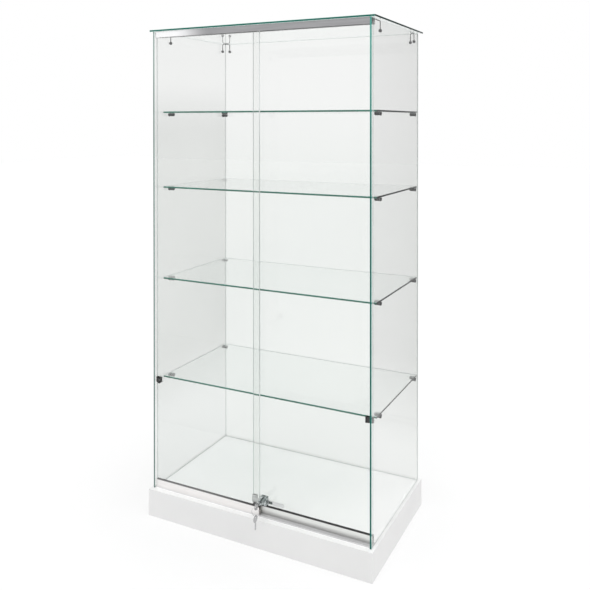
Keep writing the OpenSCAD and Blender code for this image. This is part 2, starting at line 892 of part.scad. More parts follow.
module key_ring() {
    color("silver") translate([lock_mid, hole_y, ring_mid]) rotate([90, 0, 0])
        rotate_extrude() translate([ring_r, 0]) circle(r = ring_wire_r, $fn = small_fn);
}

module spare_key() {
    color("silver") translate([lock_mid, hole_y, spare_hole_z - bow_hole_off])
        rotate([-90, 0, 0]) key();
}

plinth_end_board(-1);  // plinth_front
plinth_end_board(1);  // plinth_back
plinth_side_board(-1);  // plinth_left
plinth_side_board(1);  // plinth_right
plinth_deck();
plinth_stretcher();
plinth_cleats();
plinth_corner_blocks();
corner_screws();
deck_screws();
leveller_pads();
leveller_studs();
leveller_inserts();
side_panel(-1);  // glass_left
side_panel(1);  // glass_right
back_panel();  // glass_back
top_panel();  // glass_top
shelf(0);  // shelf_1
shelf(1);  // shelf_2
shelf(2);  // shelf_3
shelf(3);  // shelf_4
shelf_supports();
shelf_pads();
back_corner_clips();
front_corner_clips();
clip_pads();
top_channel();
top_channel_tape();
bottom_track();
bottom_track_screws();
door_glass(0);  // outer_door_glass
door_shoe(0);  // outer_door_shoe
door_gasket(0);  // outer_door_gasket
door_pull(0, outer_ridge);  // outer_door_pull
door_guides(0);  // outer_door_guides
roller_housings(0);  // outer_roller_housings
roller_axles(0);  // outer_roller_axles
roller(0, 0);  // outer_roller_left
roller(0, 1);  // outer_roller_right
door_glass(1);  // inner_door_glass
door_shoe(1);  // inner_door_shoe
door_gasket(1);  // inner_door_gasket
door_pull(1, inner_ridge);  // inner_door_pull
door_guides(1);  // inner_door_guides
roller_housings(1);  // inner_roller_housings
roller_axles(1);  // inner_roller_axles
roller(1, 0);  // inner_roller_left
roller(1, 1);  // inner_roller_right
lock_hook_bar();
lock_bar_inlay();
lock_case();
lock_plug();
lock_key();
key_ring();
spare_key();
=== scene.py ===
from math import asin, pi, radians

import bmesh
import bpy
import numpy as np
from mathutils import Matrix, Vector
from mathutils.geometry import tessellate_polygon


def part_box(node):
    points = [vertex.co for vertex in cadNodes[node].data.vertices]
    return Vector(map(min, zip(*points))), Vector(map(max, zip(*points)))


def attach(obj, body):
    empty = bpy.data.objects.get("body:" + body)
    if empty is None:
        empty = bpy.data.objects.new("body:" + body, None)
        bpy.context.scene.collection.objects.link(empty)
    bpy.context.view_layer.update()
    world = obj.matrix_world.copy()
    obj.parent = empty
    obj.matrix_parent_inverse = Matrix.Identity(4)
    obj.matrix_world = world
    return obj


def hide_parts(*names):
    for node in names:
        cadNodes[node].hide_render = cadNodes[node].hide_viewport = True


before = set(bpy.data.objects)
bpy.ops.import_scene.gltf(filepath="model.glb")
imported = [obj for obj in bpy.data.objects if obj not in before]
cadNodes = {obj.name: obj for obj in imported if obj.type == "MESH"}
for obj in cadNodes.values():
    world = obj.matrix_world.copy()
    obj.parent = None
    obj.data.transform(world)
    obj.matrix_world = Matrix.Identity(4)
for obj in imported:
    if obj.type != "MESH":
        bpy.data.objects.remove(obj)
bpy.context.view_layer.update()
mm = 0.001


def nodeBox(name):
    low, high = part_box(name)
    return np.array(low), np.array(high)


# Named sizes, given in millimetres
def inMm(**sizes):
    return {name: size * mm for name, size in sizes.items()}


def gray(value):
    return (value, value, value)


def addObject(name, data):
    made = bpy.data.objects.new(name, data)
    bpy.context.scene.collection.objects.link(made)
    return made


finishes = {}


# Kept by its name, under which the pieces ask for it
def newFinish(name):
    finishes[name] = bpy.data.materials.new(name)
    finishes[name].use_nodes = True
    return finishes[name].node_tree


def setInputs(node, values):
    for socket, value in values.items():
        node.inputs[socket].default_value = value


# Camera and stage

cameraView = {
    "place": (1.25971, -2.24293, 1.46655),
    "turnDegrees": 25.03,
    "tipDegrees": -0.34,
    "lens": 41.47,
    "sensor": 36,
    "shift": (-0.0727, -0.2862),
    "clip": (0.05, 80),
}


def addCamera():
    data = bpy.data.cameras.new("camera")
    data.lens, data.sensor_width = cameraView["lens"], cameraView["sensor"]
    data.shift_x, data.shift_y = cameraView["shift"]
    data.clip_start, data.clip_end = cameraView["clip"]
    camera = addObject("camera", data)
    camera.location = cameraView["place"]
    camera.rotation_euler = (radians(90 + cameraView["tipDegrees"]), 0, radians(cameraView["turnDegrees"]))
    bpy.context.scene.camera = camera


stageLook = {
    "floorHalf": 20,
    "floorInputs": {"Base Color": (0.35, 0.35, 0.35, 1), "Roughness": 0.8, "Specular IOR Level": 0.1,
                    "Emission Color": (1, 1, 1, 1), "Emission Strength": 0.561},
    "skyLight": 0.45,
    "card": {"near": 0.48, "far": 1.4, "front": -0.4, "back": 0.55, "foot": 0.004, "top": 3.4,
             "glow": {"From Min": 0.05, "From Max": 0.45, "To Min": 0.8, "To Max": 0.32}},
    "overhead": {"away": (0.15, -0.1, 1.0), "strength": 2.45, "spreadDegrees": 60},
    "lamps": {
        "front": {"place": (-1.5, -3.75, 2.6), "aim": (-0.1, 0, 0.6), "size": 0.7, "watts": 17.5},
        "left": {"place": (-2.5, -2.5, 2.2), "aim": (-0.2, -0.2, 1.6), "size": 1.1, "watts": 10},
        "right": {"place": (3.2, 0.4, 2.0), "aim": (0.3, 0, 0.6), "size": 1.6, "watts": 11},
    },
}


# White where it is seen, reflected or looked through, and dimmer as a light
def addSky():
    world = bpy.data.worlds.new("studioWhite")
    bpy.context.scene.world = world
    world.use_nodes = True
    tree = world.node_tree
    background = tree.nodes["Background"]
    setInputs(background, {"Color": (1, 1, 1, 1)})
    path = tree.nodes.new("ShaderNodeLightPath")
    seen = path.outputs["Is Camera Ray"]
    for name in ("Is Glossy Ray", "Is Transmission Ray"):
        adder = tree.nodes.new("ShaderNodeMath")
        adder.use_clamp = True
        tree.links.new(seen, adder.inputs[0])
        tree.links.new(path.outputs[name], adder.inputs[1])
        seen = adder.outputs[0]
    level = tree.nodes.new("ShaderNodeMapRange")
    setInputs(level, {"To Min": stageLook["skyLight"], "To Max": 1})
    tree.links.new(seen, level.inputs["Value"])
    tree.links.new(level.outputs["Result"], background.inputs["Strength"])


def addSheet(name, finishName, points, faces):
    mesh = bpy.data.meshes.new(name)
    mesh.from_pydata(points, [], faces)
    mesh.materials.append(finishes[finishName])
    return addObject(name, mesh)


def addFloor():
    tree = newFinish("paleFloor")
    setInputs(tree.nodes["Principled BSDF"], stageLook["floorInputs"])
    half = stageLook["floorHalf"]
    points = [(-half, -half, 0), (half, -half, 0), (half, half, 0), (-half, half, 0)]
    floor = addSheet("floor", "paleFloor", points, [(0, 1, 2, 3)])


# A gray studio card beside the case, which only reflections and looked-through glass see
def addCard():
    near, far, front, back, foot, top, levels = stageLook["card"].values()
    tree = newFinish("sideCard")
    place = tree.nodes.new("ShaderNodeTexCoord")
    split = tree.nodes.new("ShaderNodeSeparateXYZ")
    level = tree.nodes.new("ShaderNodeMapRange")
    setInputs(level, levels)
    glow = tree.nodes.new("ShaderNodeEmission")
    link = tree.links.new
    link(place.outputs["Object"], split.inputs[0])
    link(split.outputs["Z"], level.inputs["Value"])
    link(level.outputs["Result"], glow.inputs["Strength"])
    link(glow.outputs[0], tree.nodes["Material Output"].inputs["Surface"])
    points = [(near, front, foot), (far, front, foot), (far, back, foot), (near, back, foot),
              (near, back, top), (far, back, top)]
    card = addSheet("sideCard", "sideCard", points, [(0, 1, 2, 3), (3, 2, 5, 4)])
    card.visible_camera = card.visible_diffuse = card.visible_shadow = False


# A lamp whose back faces the direction away
def addLamp(name, kind, strength, away):
    light = addObject(name, bpy.data.lights.new(name, kind))
    light.data.energy = strength
    light.visible_camera = light.visible_glossy = light.visible_transmission = False
    light.rotation_euler = Vector(away).to_track_quat("Z", "Y").to_euler()
    return light


def addLamps():
    overhead = stageLook["overhead"]
    light = addLamp("overhead", "SUN", overhead["strength"], overhead["away"])
    light.data.angle = radians(overhead["spreadDegrees"])
    for name, lamp in stageLook["lamps"].items():
        light = addLamp(name, "AREA", lamp["watts"], Vector(lamp["place"]) - Vector(lamp["aim"]))
        light.data.size = lamp["size"]
        light.location = lamp["place"]


addCamera()
addSky()
addFloor()
addCard()
addLamps()
bpy.context.scene.view_settings.view_transform = "Standard"
print("stage ready")


# Shared surface effects

def newGroup(name, inputs, outputs):
    group = bpy.data.node_groups.new(name, "ShaderNodeTree")
    for socket, kind, value in inputs:
        made = group.interface.new_socket(socket, in_out="INPUT", socket_type=f"NodeSocket{kind}")
        if value is not None:
            made.default_value = value
    for socket, kind in outputs:
        group.interface.new_socket(socket, in_out="OUTPUT", socket_type=f"NodeSocket{kind}")
    return group, group.nodes.new("NodeGroupInput"), group.nodes.new("NodeGroupOutput")


# Stretched noise between two levels, as grain, brushing, mottling or smudges
def makeGrainGroup():
    group, inlet, outlet = newGroup(
        "surfaceGrain",
        [("Vector", "Vector", None), ("Stretch", "Vector", (1, 1, 1)), ("Scale", "Float", 100.0),
         ("Detail", "Float", 3.0), ("Low", "Float", 0.0), ("High", "Float", 1.0)],
        [("Value", "Float")])
    stretch = group.nodes.new("ShaderNodeVectorMath")
    stretch.operation = "MULTIPLY"
    noise = group.nodes.new("ShaderNodeTexNoise")
    spread = group.nodes.new("ShaderNodeMapRange")
    setInputs(spread, {"From Min": 0.3, "From Max": 0.7})
    link = group.links.new
    link(inlet.outputs["Vector"], stretch.inputs[0])
    link(inlet.outputs["Stretch"], stretch.inputs[1])
    link(stretch.outputs[0], noise.inputs["Vector"])
    link(inlet.outputs["Scale"], noise.inputs["Scale"])
    link(inlet.outputs["Detail"], noise.inputs["Detail"])
    link(noise.outputs["Fac"], spread.inputs["Value"])
    link(inlet.outputs["Low"], spread.inputs["To Min"])
    link(inlet.outputs["High"], spread.inputs["To Max"])
    link(spread.outputs["Result"], outlet.inputs["Value"])
    return group


# Two colours mixed by a mask
def makeTintGroup():
    group, inlet, outlet = newGroup(
        "twoTone", [("Mask", "Float", 0.5), ("First", "Color", None), ("Second", "Color", None)],
        [("Color", "Color")])
    mixer = group.nodes.new("ShaderNodeMix")
    mixer.data_type = "RGBA"
    colors = [s for s in mixer.inputs if s.type == "RGBA"]
    result = [s for s in mixer.outputs if s.type == "RGBA"][0]
    group.links.new(inlet.outputs["Mask"], mixer.inputs["Factor"])
    group.links.new(inlet.outputs["First"], colors[0])
    group.links.new(inlet.outputs["Second"], colors[1])
    group.links.new(result, outlet.inputs["Color"])
    return group


# A mask that rises from 0 to 1 between two places along a direction
def makeRampGroup():
    group, inlet, outlet = newGroup(
        "alongDirection",
        [("Vector", "Vector", None), ("Direction", "Vector", (1, 0, 0)), ("From", "Float", 0.0),
         ("To", "Float", 1.0)],
        [("Value", "Float")])
    along = group.nodes.new("ShaderNodeVectorMath")
    along.operation = "DOT_PRODUCT"
    rise = group.nodes.new("ShaderNodeMapRange")
    rise.interpolation_type = "SMOOTHSTEP"
    link = group.links.new
    link(inlet.outputs["Vector"], along.inputs[0])
    link(inlet.outputs["Direction"], along.inputs[1])
    link(along.outputs["Value"], rise.inputs["Value"])
    link(inlet.outputs["From"], rise.inputs["From Min"])
    link(inlet.outputs["To"], rise.inputs["From Max"])
    link(rise.outputs["Result"], outlet.inputs["Value"])
    return group


grainGroup = makeGrainGroup()
tintGroup = makeTintGroup()
rampGroup = makeRampGroup()


def placeGroup(tree, group, **values):
    node = tree.nodes.new("ShaderNodeGroup")
    node.node_tree = group
    setInputs(node, values)
    return node


def tintBetween(tree, mask, first, second):
    tint = placeGroup(tree, tintGroup)
    tree.links.new(mask, tint.inputs["Mask"])
    for socket, color in (("First", first), ("Second", second)):
        if isinstance(color, tuple):
            tint.inputs[socket].default_value = (*color, 1)
        else:
            tree.links.new(color, tint.inputs[socket])
    return tint.outputs["Color"]


up, down, leftward, rightward = (0, 0, 1), (0, 0, -1), (-1, 0, 0), (1, 0, 0)

# What a look leaves out
plainLook = {"toneStretch": (1, 1, 1), "toneDetail": 3, "ramps": (), "grainStretch": (1, 1, 1),
             "grainScale": 300, "reliefScale": 900, "relief": 0.1, "inputs": {}}


# Two close tones in a noise. Each ramp changes them to its colour along a direction, between
# two places
def surfaceColor(tree, place, first, second, look):
    tone = placeGroup(tree, grainGroup, Stretch=look["toneStretch"], Scale=look["toneScale"],
                      Detail=look["toneDetail"])
    tree.links.new(place, tone.inputs["Vector"])
    color = tintBetween(tree, tone.outputs["Value"], first, second)
    for direction, start, end, past in look["ramps"]:
        mask = placeGroup(tree, rampGroup, Direction=direction, From=start, To=end)
        tree.links.new(place, mask.inputs["Vector"])
        color = tintBetween(tree, mask.outputs["Value"], color, past)
    return color


reliefDepth = 0.2 * mm


# A finish: surface colour, another colour behind the face, a roughness band and a fine
# relief, all in Object coordinates
def finish(name, first, second, **look):
    look = {**plainLook, **look}
    tree = newFinish(name)
    link, shader = tree.links.new, tree.nodes["Principled BSDF"]
    place = tree.nodes.new("ShaderNodeTexCoord").outputs["Object"]
    color = surfaceColor(tree, place, first, second, look)
    if "inside" in look:
        facing = tree.nodes.new("ShaderNodeNewGeometry")
        color = tintBetween(tree, facing.outputs["Backfacing"], color, look["inside"])
    link(color, shader.inputs["Base Color"])
    low, high = look["roughness"]
    worn = placeGroup(tree, grainGroup, Stretch=look["grainStretch"], Scale=look["grainScale"], Low=low,
                      High=high)
    link(place, worn.inputs["Vector"])
    link(worn.outputs["Value"], shader.inputs["Roughness"])
    relief = placeGroup(tree, grainGroup, Stretch=look["grainStretch"], Scale=look["reliefScale"])
    bump = tree.nodes.new("ShaderNodeBump")
    setInputs(bump, {"Strength": look["relief"], "Distance": reliefDepth})
    link(place, relief.inputs["Vector"])
    link(relief.outputs["Value"], bump.inputs["Height"])
    link(bump.outputs["Normal"], shader.inputs["Normal"])
    setInputs(shader, look["inputs"])


metal, halfMetal = {"Metallic": 1.0}, {"Metallic": 0.5}
laminateLook = {"toneScale": 5, "roughness": (0.36, 0.48), "grainScale": 500, "reliefScale": 1500,
                "relief": 0.12, "inputs": {"Specular IOR Level": 0.35}}
finish("whiteLaminate", gray(0.8), (0.84, 0.84, 0.835), **laminateLook)
# The deck: the boards' laminate made lighter, as painted light in place of the overhead light that the
# stacked glass panes hold back
finish("deckLaminatePaintedLight", gray(0.93), gray(0.96), **laminateLook)
finish("sawnTimber", (0.55, 0.38, 0.21), (0.72, 0.56, 0.36), toneStretch=(3, 3, 40), toneScale=3,
       toneDetail=6, roughness=(0.6, 0.8), grainStretch=(1, 1, 12), grainScale=60, reliefScale=120,
       relief=0.4)
finish("zincSteel", gray(0.52), (0.63, 0.64, 0.66), toneScale=90, roughness=(0.28, 0.42), inputs=metal)
aluminiumLook = {"toneStretch": (0.05, 1, 1), "toneScale": 140, "roughness": (0.3, 0.42),
                 "grainStretch": (0.02, 1, 1), "grainScale": 900, "reliefScale": 1800, "relief": 0.15}
# Top channel: painted reflections, a dark aluminium face that turns to a painted white highlight toward its
# left end
finish("channelAluminiumPaintedReflection", (0.34, 0.34, 0.35), (0.4, 0.4, 0.41), **aluminiumLook, inputs=metal,
       ramps=[(leftward, 0.19, 0.35, (0.98, 0.98, 0.99))])
# The channel's faces turned inward and down: the same aluminium painted much lighter, as painted light
finish("channelInsidePaintedLight", gray(0.86), gray(0.92), **aluminiumLook, inputs={"Metallic": 0.4})
# Bottom track: painted shade, darker toward the right end
finish("trackAluminiumPaintedShade", gray(0.84), gray(0.9), **aluminiumLook, inputs=halfMetal,
       ramps=[(rightward, -0.1, 0.12, (0.7, 0.7, 0.705))])
finish("outerShoeAluminium", (0.88, 0.86, 0.85), (0.93, 0.91, 0.9), **aluminiumLook, inputs=halfMetal)
# The inner door's shoe: a little darker than the outer one's, and painted shade toward its foot in the
# track's front lane
finish("innerShoeAluminium", (0.82, 0.83, 0.81), (0.88, 0.89, 0.87), **aluminiumLook, inputs=halfMetal,
       ramps=[(down, -0.12, -0.101, (0.54, 0.54, 0.53))])
# Shelf supports: chrome painted near-black, as painted dark reflections; their flanges a lighter copy of it,
# as a painted highlight
finish("supportChromePaintedDarkReflection", (0.008, 0.009, 0.01), (0.025, 0.027, 0.03), toneScale=60, roughness=(0.1, 0.22),
       inputs=metal)
finish("flangeChromePaintedHighlight", (0.1, 0.1, 0.106), (0.26, 0.265, 0.27), toneScale=60, roughness=(0.1, 0.2),
       inputs=metal)
# Clip wires and balls: chrome painted dark, as painted dark reflections
finish("wireChromePaintedDarkReflection", (0.03, 0.03, 0.032), (0.12, 0.12, 0.124), toneScale=120, roughness=(0.08, 0.18),
       inputs=metal)
finish("padChromePaintedDarkReflection", (0.04, 0.04, 0.042), (0.17, 0.17, 0.175), toneScale=160, roughness=(0.08, 0.16),
       inputs=metal)
# Lock chrome: dark and bright streaks along the barrel, as painted reflections
finish("lockChromePaintedStreaks", (0.07, 0.09, 0.09), (0.62, 0.66, 0.66), toneStretch=(1, 0.06, 1), toneScale=170,
       toneDetail=1, roughness=(0.08, 0.18), relief=0.05, inputs=metal)
finish("satinSteel", (0.62, 0.63, 0.63), (0.74, 0.75, 0.75), toneStretch=(0.1, 1, 1), toneScale=260,
       roughness=(0.3, 0.42), grainStretch=(0.03, 1, 1), grainScale=1200, relief=0.15, inputs=metal)
finish("keyNickel", (0.46, 0.46, 0.47), (0.62, 0.62, 0.63), toneScale=160, roughness=(0.18, 0.32),
       relief=0.15, inputs=metal)
finish("turnedBrass", (0.48, 0.33, 0.13), (0.62, 0.45, 0.2), toneScale=140, roughness=(0.25, 0.4),
       inputs=metal)
finish("blackPlastic", gray(0.012), gray(0.02), toneScale=40, roughness=(0.22, 0.34), reliefScale=2500,
       inputs={"Coat Weight": 0.3, "Coat Roughness": 0.15})
# Gasket rubber: painted light, paler toward the left end
finish("gasketRubberPaintedLight", gray(0.035), gray(0.06), toneScale=60, roughness=(0.5, 0.68), reliefScale=1500,
       relief=0.2, ramps=[(leftward, -0.08, 0.28, gray(0.24))])
finish("whiteNylon", (0.72, 0.71, 0.66), (0.78, 0.77, 0.73), toneScale=50, roughness=(0.4, 0.52))
finish("footPlastic", gray(0.03), gray(0.045), toneScale=60, roughness=(0.45, 0.6))
finish("housingPlastic", (0.22, 0.18, 0.1), (0.32, 0.27, 0.16), toneScale=60, roughness=(0.4, 0.55))
finish("foamTape", gray(0.66), gray(0.74), toneScale=200, roughness=(0.6, 0.75))
finish("clearPad", (0.7, 0.74, 0.72), (0.8, 0.83, 0.81), toneScale=120, roughness=(0.12, 0.22), relief=0.05,
       inputs={"Transmission Weight": 0.6, "IOR": 1.46})
finish("inlayDark", (0.055, 0.07, 0.065), (0.09, 0.11, 0.1), toneScale=200, roughness=(0.14, 0.24),
       inputs={"Coat Weight": 0.3})
# The keyway: a dark solid in the plug, as painted shade in the hole
finish("keyholePaintedShade", gray(0.01), gray(0.02), toneScale=200, roughness=(0.4, 0.5))


hazeScale, hazeDetail = 6, 4


# Clear faces: slight smudges in the roughness, and lamps' rays pass through
def clearGlass(name, first, second, **look):
    look = {**plainLook, **look}
    tree = newFinish(name)
    link, shader = tree.links.new, tree.nodes["Principled BSDF"]
    setInputs(shader, {"Transmission Weight": 1, "IOR": 1.5, **look["inputs"]})
    place = tree.nodes.new("ShaderNodeTexCoord").outputs["Object"]
    haze = placeGroup(tree, grainGroup, Scale=hazeScale, Detail=hazeDetail, High=look["haze"])
    link(place, haze.inputs["Vector"])
    link(haze.outputs["Value"], shader.inputs["Roughness"])
    link(surfaceColor(tree, place, first, second, look), shader.inputs["Base Color"])
    clear = tree.nodes.new("ShaderNodeBsdfTransparent")
    setInputs(clear, {"Color": (*look["lets"], 1)})
    path = tree.nodes.new("ShaderNodeLightPath")
    mixer = tree.nodes.new("ShaderNodeMixShader")
    link(path.outputs["Is Shadow Ray"], mixer.inputs[0])
    link(shader.outputs[0], mixer.inputs[1])
    link(clear.outputs[0], mixer.inputs[2])
    link(mixer.outputs[0], tree.nodes["Material Output"].inputs["Surface"])


# A ground glass edge with its own tones from outside, and a pale one from inside the pane
def glassEdge(name, first, second, ramps=(), inside=(0.8, 0.89, 0.87)):
    finish(name, first, second, ramps=ramps, inside=inside, toneScale=9, toneStretch=(1, 1, 0.4),
           roughness=(0.2, 0.35), grainScale=60, reliefScale=300, relief=0.05,
           inputs={"Specular IOR Level": 0.15})


# The upright panes are one glass, tinted differently pane by pane and by height as painted reflections and
# shade: the left pane darkest in its middle, the right one nearly clear, the back and door panes lighter
# toward the top
uprightLook = {"toneScale": 1.6, "toneDetail": 1, "haze": 0.01, "lets": (0.975, 0.98, 0.977),
               "inputs": {"Specular IOR Level": 0.15}}
clearGlass("leftGlass", (0.72, 0.73, 0.72), (0.78, 0.79, 0.78), **uprightLook,
           ramps=[(down, -0.6, -0.3, (0.89, 0.9, 0.895)), (up, 1.4, 1.65, (0.905, 0.91, 0.905))])
clearGlass("rightGlass", (0.99, 0.998, 0.988), (1, 1, 0.998), **uprightLook)
for name in ("backGlass", "doorGlass"):
    clearGlass(name, (0.91, 0.925, 0.915), (0.935, 0.945, 0.935), **uprightLook,
               ramps=[(up, 1.2, 1.6, (0.95, 0.955, 0.95))])
clearGlass("flatGlass", (0.945, 0.965, 0.957), (0.96, 0.975, 0.968), toneScale=2, haze=0.012,
           lets=(0.955, 0.968, 0.963))

glassEdge("paleEdge", (0.76, 0.81, 0.79), (0.83, 0.87, 0.85), inside=(0.84, 0.9, 0.88))
glassEdge("jointEdge", (0.56, 0.61, 0.6), (0.64, 0.69, 0.68))
# The panels' bottom edges on the deck: a dark line, partly the joint itself and partly a painted contact
# shadow
glassEdge("deckJointAndShadow", (0.4, 0.43, 0.42), (0.46, 0.49, 0.48), inside=(0.6, 0.64, 0.63))
# A lighter arris than its edge, as a painted highlight
glassEdge("sideArrisPaintedHighlight", (0.05, 0.42, 0.37), (0.1, 0.5, 0.45))
glassEdge("topEdge", (0.01, 0.11, 0.085), (0.03, 0.15, 0.12))
# A lighter arris than its edge, as a painted highlight
glassEdge("topArrisPaintedHighlight", (0.08, 0.4, 0.31), (0.13, 0.48, 0.4))
glassEdge("topSideEdge", (0.01, 0.03, 0.025), (0.02, 0.045, 0.04))
glassEdge("shelfEdge", (0, 0.11, 0.066), (0.001, 0.15, 0.095))
# A lighter arris than its edge, as a painted highlight
glassEdge("shelfArrisPaintedHighlight", (0.001, 0.24, 0.17), (0.004, 0.3, 0.22))
glassEdge("shelfSideEdge", (0.002, 0.006, 0.005), (0.006, 0.014, 0.012))
glassEdge("innerDoorEdge", (0.8, 0.84, 0.82), (0.86, 0.89, 0.88))
# The outer door pane's right edge: painted light, paler toward the top and bottom, and painted shade just
# above the gasket
glassEdge("outerDoorEdge", (0.58, 0.63, 0.61), (0.64, 0.68, 0.66), [
    (up, 1.3, 1.6, (0.9, 0.94, 0.93)), (down, -0.7, -0.4, (0.82, 0.86, 0.84)),
    (down, -0.14, -0.129, (0.05, 0.05, 0.04))])
print("finishes ready")


# Shapes as arrays

# The longest part of a side that an ease may take
easeShare = 0.48


# Each corner turns into a quadratic curve that starts and ends its ease away
def easedLoop(corners, ease, steps=4):
    p = np.array(corners, float)
    back, ahead = np.roll(p, 1, 0) - p, np.roll(p, -1, 0) - p
    backLen = np.linalg.norm(back, axis=1)[:, None]
    aheadLen = np.linalg.norm(ahead, axis=1)[:, None]
    reach = np.minimum(np.broadcast_to(ease, len(p))[:, None], np.minimum(backLen, aheadLen) * easeShare)
    a, b = p + back / backLen * reach, p + ahead / aheadLen * reach
    t = np.linspace(0, 1, steps + 1)[None, :, None]
    curve = a[:, None] * (1 - t) ** 2 + 2 * t * (1 - t) * p[:, None] + b[:, None] * t ** 2
    return curve.reshape(-1, 2)


# A closed arc, as a whole circle, leaves its end out
def arc(radius, start, end, count, middle=(0, 0), closed=False):
    t = np.linspace(start, end, count, endpoint=not closed)
    return np.stack([middle[0] + radius * np.cos(t), middle[1] + radius * np.sin(t)], 1)


def rectangle(low, high):
    return [(low[0], low[1]), (high[0], low[1]), (high[0], high[1]), (low[0], high[1])]


# Outward unit normals of a loop's points
def loopNormals(loop):
    along = np.roll(loop, -1, 0) - np.roll(loop, 1, 0)
    normal = np.stack([along[:, 1], -along[:, 0]], 1)
    normal /= np.maximum(np.linalg.norm(normal, axis=1), 1e-12)[:, None]
    x, y = loop[:, 0], loop[:, 1]
    area = np.sum(x * np.roll(y, -1) - np.roll(x, -1) * y)
    return normal * np.sign(area)


# The places of a loop's two coordinates and of its station, for each axis it is carried along
axisOrder = {"x": (1, 2, 0), "y": (0, 2, 1), "z": (0, 1, 2)}


def placeRings(loops, stations, axis):
    order = axisOrder[axis]
    points = np.zeros((len(stations), loops.shape[1], 3))
    points[..., order[0]] = loops[..., 0]
    points[..., order[1]] = loops[..., 1]
    points[..., order[2]] = np.asarray(stations)[:, None]
    return points


# Quads between neighbouring rings
def gridFaces(rings, count):
    r = np.arange(rings - 1)[:, None]
    c = np.arange(count)[None, :]
    c2 = (c + 1) % count
    quads = np.stack([r * count + c, r * count + c2, (r + 1) * count + c2, (r + 1) * count + c], -1)
    return quads.reshape(-1, 4)


# Rings of a loop carried along an axis and drawn in at both ends by a quarter round;
# those of an opening widen there instead
def easedRings(loop, start, end, axis, endEase, steps, opening=False):
    normals = loopNormals(loop) * (-1 if opening else 1)
    turn = np.linspace(0, pi / 2, steps + 1) if endEase > 0 else np.array([pi / 2])
    inset = endEase * (1 - np.sin(turn))
    station = endEase * (1 - np.cos(turn))
    insets = np.concatenate([inset, inset[::-1]])
    stations = np.concatenate([start + station, (end - station)[::-1]])
    return placeRings(loop[None] - normals[None] * insets[:, None, None], stations, axis)


# A solid from one loop. Face kinds: 0 the ends; 1 to 4 the band's sides (low and high first
# axis, low and high second axis); 11 to 14 the same sides of the rounds
def carried(loop, start, end, axis, endEase=0.0, steps=3):
    points = easedRings(loop, start, end, axis, endEase, steps)
    rings, count = points.shape[:2]
    quads = gridFaces(rings, count)
    caps = [list(range(count)), list(range((rings - 1) * count, rings * count))]
    normals = loopNormals(loop)
    n = normals + np.roll(normals, -1, 0)
    side = np.where(np.abs(n[:, 0]) > np.abs(n[:, 1]), np.where(n[:, 0] < 0, 1, 2),
                    np.where(n[:, 1] < 0, 3, 4))
    band = np.arange(rings - 1)[:, None] == rings // 2 - 1
    kinds = np.where(band, side[None], side[None] + 10).reshape(-1)
    return points.reshape(-1, 3), quads.tolist() + caps, kinds.tolist() + [0, 0]


# A solid from an outline and the openings in it
def carriedWithOpenings(loops, start, end, axis, endEase, steps=2):
    points, faces, base, caps = [], [], 0, ([], [])
    for number, loop in enumerate(loops):
        grid = easedRings(loop, start, end, axis, endEase, steps, opening=number > 0)
        rings, count = grid.shape[:2]
        points.append(grid.reshape(-1, 3))
        faces += (gridFaces(rings, count) + base).tolist()
        caps[0].append((grid[0], base))
        caps[1].append((grid[-1], base + (rings - 1) * count))
        base += rings * count
    for cap in caps:
        places = np.concatenate([np.arange(first, first + len(ring)) for ring, first in cap])
        triangles = tessellate_polygon([[Vector(p) for p in ring] for ring, first in cap])
        faces += places[np.array(triangles)].tolist()
    return np.concatenate(points), faces, [1] * len(faces)


# A profile of radius and station turned round an axis
def turned(profile, middle, axis, sides=40):
    p = np.array(profile, float)
    t = np.linspace(0, 2 * pi, sides, endpoint=False)
    loops = np.stack([middle[0] + p[:, :1] * np.cos(t), middle[1] + p[:, :1] * np.sin(t)], -1)
    points = placeRings(loops, p[:, 1], axis)
    quads = gridFaces(len(p), sides)
    return points.reshape(-1, 3), quads.tolist(), [1] * len(quads)


# A round wire along a path, with its rings square to the path
def wire(path, radius, side, sides=14):
    path = np.array(path, float)
    ahead = np.gradient(path, axis=0)
    ahead /= np.linalg.norm(ahead, axis=1)[:, None]
    across = np.cross(np.broadcast_to(np.array(side, float), path.shape), ahead)
    across /= np.linalg.norm(across, axis=1)[:, None]
    upright = np.cross(ahead, across)
    t = np.linspace(0, 2 * pi, sides, endpoint=False)
    points = path[:, None] + radius * (across[:, None] * np.cos(t)[None, :, None]
                                       + upright[:, None] * np.sin(t)[None, :, None])
    last = (len(path) - 1) * sides
    faces = gridFaces(len(path), sides).tolist() + [list(range(sides)), list(range(last, last + sides))]
    return points.reshape(-1, 3), faces, [1] * len(faces)


# The same shape seen in a mirror at x = 0
def mirrored(shape):
    points, faces, kinds = shape
    return points * (-1, 1, 1), faces, kinds


weldDistance = 1e-6


